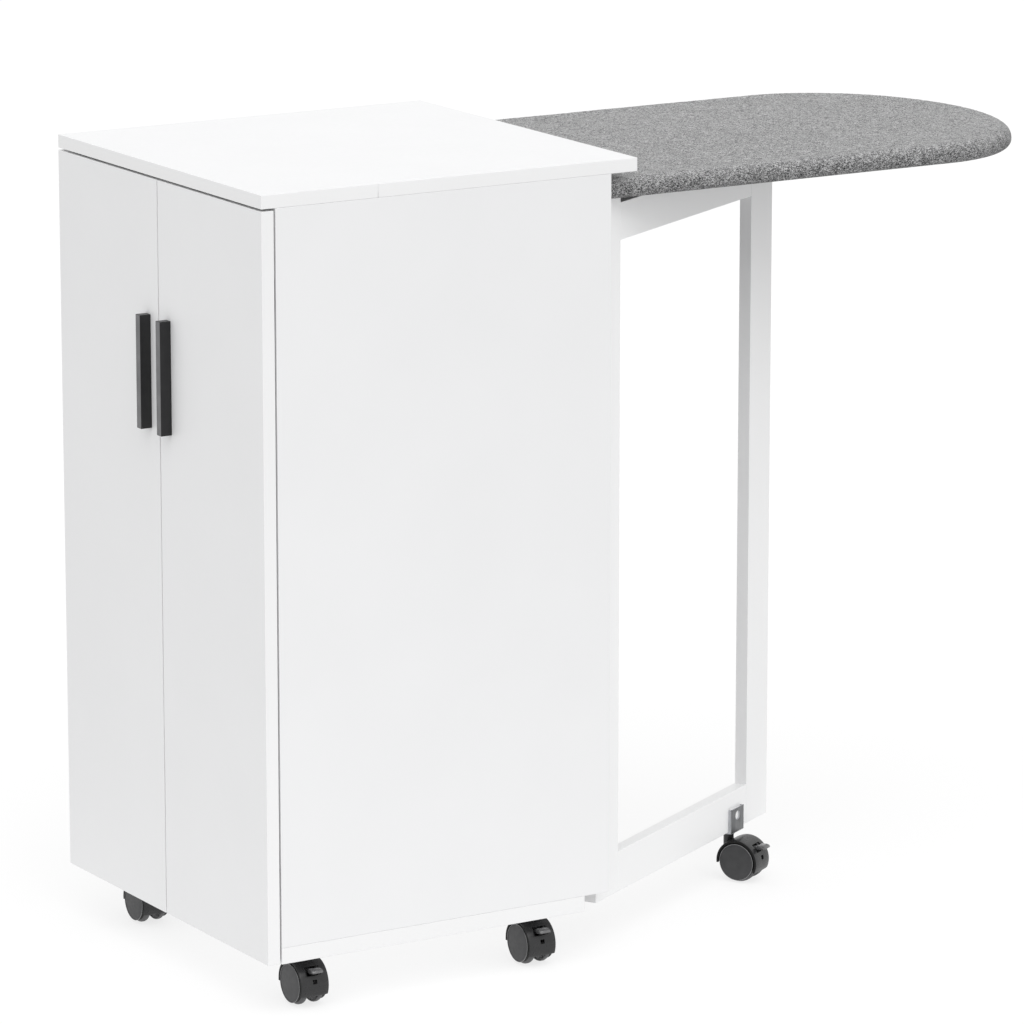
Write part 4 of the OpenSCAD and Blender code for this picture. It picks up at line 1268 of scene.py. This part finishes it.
    def wheel_mesh(self) -> Mesh:
        """Make both wheels with their ribs, and the axle between them.

        Returns:
            The mesh in materials 0 to 4: disc; a lighter edge grey that paints a highlight on the thin ring
                and the ribs; tread; axle; and a near black that paints the shade on the band beside the ring
                and in the recess.
        """
        sides = ((self.half_span, self.wheel_face), (self.half_gap, self.wheel_back))
        wheel = lathe([(r * MM, side + y * MM, slot) for side, rows in sides for r, y, slot in rows], 120)
        low, end = self.half_gap, self.half_gap + self.axle_past
        (r0, r1), (y0, y1), half = self.rib_r, self.rib_y, self.rib_half
        # Painted highlight: the ribs take the lighter edge grey of material 1, standing in for light on ribs
        # that sit in the recess's shade.
        rib = rounded_box((r0, low + y0, -half), (r1, low + y1, half), LEAF_EDGE, 1, slot=1)
        centre = Matrix.Translation((self.trail, 0.0, self.wheel_r))
        parts = [(rod(self.axle_r, -end, end, 32, 3), centre)]
        for hand in (HERE, Matrix.Diagonal((1.0, -1.0, 1.0, 1.0))):
            parts.append((wheel, centre @ hand))
            for k in range(self.ribs):
                parts.append((rib, centre @ hand @ Matrix.Rotation(2 * math.pi * k / self.ribs, 4, "Y")))
        mesh = joined(parts, "caster_wheels")
        with editing(mesh) as work:
            bmesh.ops.recalc_face_normals(work, faces=work.faces[:])
        return smooth_between(mesh, 30.0)

    def lever_mesh(self) -> Mesh:
        """Make the brake lever: a boss on the pin, an arm and a ridged tab.

        Returns:
            The mesh.
        """
        inner, outer, end = self.pin_r, self.ear_r, self.lever_boss_half
        boss = [(inner, -end, 0), (outer, -end, 0), (outer, end, 0), (inner, end, 0), (inner, -end, 0)]
        thin, wide, deep = self.ridge_half
        ridge = rounded_box((-thin, -wide, -deep), (thin, wide, thin), self.ridge_edge, 1)
        slope = Matrix.Translation(self.ridge_place) @ Matrix.Rotation(math.radians(self.ridge_turn), 4, "Y")
        px, pz = self.polar(self.lever_r, self.lever_a)
        place = Matrix.Translation((px, 0.0, pz)) @ Matrix.Rotation(-math.radians(self.lever_turn), 4, "Y")
        parts = [
            (lathe(boss, 32), HERE),
            (plate(self.arm, -self.arm_half, self.arm_half, self.arm_edge), HERE),
            (plate(self.tab, -self.lever_half, self.lever_half, self.tab_edge), HERE),
        ]
        parts += [(ridge, slope @ Matrix.Translation((self.ridge_step * k, 0.0, 0.0))) for k in (-1, 0, 1)]
        mesh = joined(parts, "brake_lever")
        mesh.transform(place)
        return smooth_between(mesh)


@dataclass
class Casters:
    """The five casters, placed by their swivels and spin axes."""

    shop: Workshop
    joints: dict[str, dict]
    names: tuple[str, ...] = (
        "front_right_caster", "rear_right_caster", "front_left_caster", "rear_left_caster", "leg_caster",
    )

    def build(self) -> None:
        """Place the shared meshes at every caster."""
        finishes = self.shop.finishes
        shape = CasterShape(finishes)
        wheel = (finishes.disc, finishes.edge_painted_highlight, finishes.tread, finishes.zinc, finishes.painted_shade_black)
        meshes = {
            "hood_shell": (shape.hood_mesh(), (finishes.hood,), "hood", "hood_black"),
            "frame": (shape.frame_mesh(), (finishes.hood,), "hood", "hood_black"),
            "wheel_pair": (shape.wheel_mesh(), wheel, "wheels", "wheel_grey"),
            "brake_lever": (shape.lever_mesh(), (finishes.lever,), "brake", "hood_black"),
        }
        for name in self.names:
            swivel = self.joints[name + "_swivel"]["pos_m"]
            spin = self.joints[name + "_spin"]["axis"]
            heading = Matrix.Rotation(math.atan2(-spin[0], spin[1]), 4, "Z")
            for piece_name, (mesh, materials, body, slot) in meshes.items():
                piece = show(mesh, f"{name}_{piece_name}", materials)
                piece.matrix_world = Matrix.Translation((*swivel[:2], 0.0)) @ heading
                self.shop.hang(piece, f"{name}_{body}", slot, f"{name}_{body}")


@dataclass
class Screws:
    """Cross-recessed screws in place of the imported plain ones."""

    shop: Workshop
    recess: Pair = (0.00143, 0.000396)
    recess_z: Pair = (-0.00025, 0.00004)
    recess_edge: float = 0.00003
    flat_head: float = 0.0013
    head_edge: float = 0.0001
    head_seat: float = 0.98
    dome: float = 0.55
    point: float = 0.0015
    point_share: float = 0.5
    rim_share: float = 0.9
    slip: float = 1e-5
    rows: tuple[tuple[str, str, Head | None], ...] = (
        ("hinge_and_catch_screws", "cabinet", None),
        ("caster_plate_screws", "cabinet", Head.RAISED),
        ("left_door_screws", "left_door", Head.RAISED),
        ("right_door_screws", "right_door", Head.RAISED),
        ("board_leaf_screws", "ironing_board", Head.FLUSH),
        ("leg_screws", "gate_leg", None),
    )

    def build(self) -> None:
        """Make the screws of every node that holds some."""
        for node, body, head in self.rows:
            name = node + "_crossed"
            mesh = joined([self.screw(group, head) for group in islands(node)], name)
            piece = show(smooth_between(mesh, 32.0), name, (self.shop.finishes.zinc,))
            self.shop.hang(piece, body, "zinc_steel", node)

    def screw(self, group: np.ndarray, head: Head | None) -> tuple[Mesh, Matrix]:
        """Make one screw along Y from its packed points.

        Args:
            group: The points of one plain screw.
            head: The head's form, or None where its height tells.

        Returns:
            The screw's mesh, and where it goes.
        """
        middle = group.mean(0)
        axis = np.linalg.svd(group - middle)[2][0]
        along = (group - middle) @ axis
        away = np.linalg.norm((group - middle) - np.outer(along, axis), axis=1)
        wide = along[away > away.max() * self.rim_share]
        if abs(wide.max() - along.max()) > self.slip:
            axis, along, wide = -axis, -along, -wide
        top, seat, tip = float(along.max()), float(wide.min()), float(along.min())
        radius, shank = float(away.max()), float(away[along < seat - self.slip].max())
        flat = head is Head.FLUSH or (head is None and top - seat < self.flat_head)
        dome = 0.0 if flat else (top - seat) * self.dome
        turns = [math.radians(15.0 * k) for k in range(6)]
        profile = [(0.0, tip, 0), (shank * self.point_share, tip, 0), (shank, tip + self.point, 0)]
        profile += [(shank, seat, 0), (radius * self.head_seat, seat, 0), (radius, seat + self.head_edge, 0)]
        profile += [(radius * math.cos(a), top - dome + dome * math.sin(a), 0) for a in turns]
        parts = [lathe([*profile, (0.0, top, 0)], 32)]
        long, slim = self.recess
        low, high = (top + z for z in self.recess_z)
        for x, z in ((long, slim), (slim, long)):
            parts.append(rounded_box((-x, low, -z), (x, high, z), self.recess_edge, 1))
        turn = Vector(axis.tolist()).to_track_quat("Y", "Z").to_matrix().to_4x4()
        return joined((part, HERE) for part in parts), Matrix.Translation(middle.tolist()) @ turn


@dataclass
class Studio:
    """Camera, light and floor of the photograph's view."""

    place: Triple = (5.6726, -3.5218, 1.9761)
    azimuth: float = 58.772
    pitch: float = 12.864
    lens: float = 211.92
    clip: Pair = (0.1, 100.0)
    ambient: float = 0.76
    key: float = 1.33
    key_from: Triple = (0.484, -0.165, 0.86)
    key_spread: float = 60.0
    floor_size: float = 20.0
    floor_z: float = -0.0003

    def build(self) -> None:
        """Make the camera, the world, the key light and the floor."""
        scene = bpy.context.scene
        camera = placed("camera", bpy.data.cameras.new("camera"))
        a, e = math.radians(self.azimuth), math.radians(self.pitch)
        forward = Vector((-math.sin(a) * math.cos(e), math.cos(a) * math.cos(e), -math.sin(e)))
        camera.location = self.place
        camera.rotation_euler = forward.to_track_quat("-Z", "Y").to_euler()
        camera.data.lens = self.lens
        camera.data.clip_start, camera.data.clip_end = self.clip
        scene.camera = camera
        scene.world = self.world()
        sun = placed("key", bpy.data.lights.new("key", "SUN"))
        sun.data.energy = self.key
        sun.data.angle = math.radians(self.key_spread)
        sun.rotation_euler = Vector(self.key_from).to_track_quat("Z", "Y").to_euler()
        self.build_floor()
        scene.view_settings.view_transform = "Standard"

    def build_floor(self) -> None:
        """Make the floor just under the wheels."""
        mesh = bpy.data.meshes.new("floor")
        under = Matrix.Translation((0.0, 0.0, self.floor_z))
        with editing(mesh) as work:
            bmesh.ops.create_grid(work, x_segments=1, y_segments=1, size=self.floor_size, matrix=under)
        floor = show(mesh, "floor", (StudioFloor().build(),))

    def world(self) -> bpy.types.World:
        """Light evenly from all round, and show white to the camera and in reflections.

        Returns:
            The world.
        """
        shader = Shader("studio", world=True)
        strength = shader.span(shader.seen(), self.ambient, 1.0, 0.0, 1.0)
        return shader.close(shader.node("Background", {"Color": WHITE, "Strength": strength}).outputs[0])


def main() -> None:
    """Load the frame and dress it, sub-assembly by sub-assembly."""
    logging.basicConfig(level=logging.INFO, format="%(name)s: %(message)s")
    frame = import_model()
    joints = {joint["name"]: joint for joint in frame["joints"]}
    shop = Workshop(Finishes())
    Studio().build()
    Carcass(shop).build()
    for side in Side:
        Door(shop, side).build()
    GateLeg(shop, Vector(joints["leg_hinge"]["pos_m"])).build()
    PaddedBoard(shop).build()
    Casters(shop, joints).build()
    Screws(shop).build()
    log.info("%d pieces made", len(shop.made))


if __name__ == "__main__":
    main()
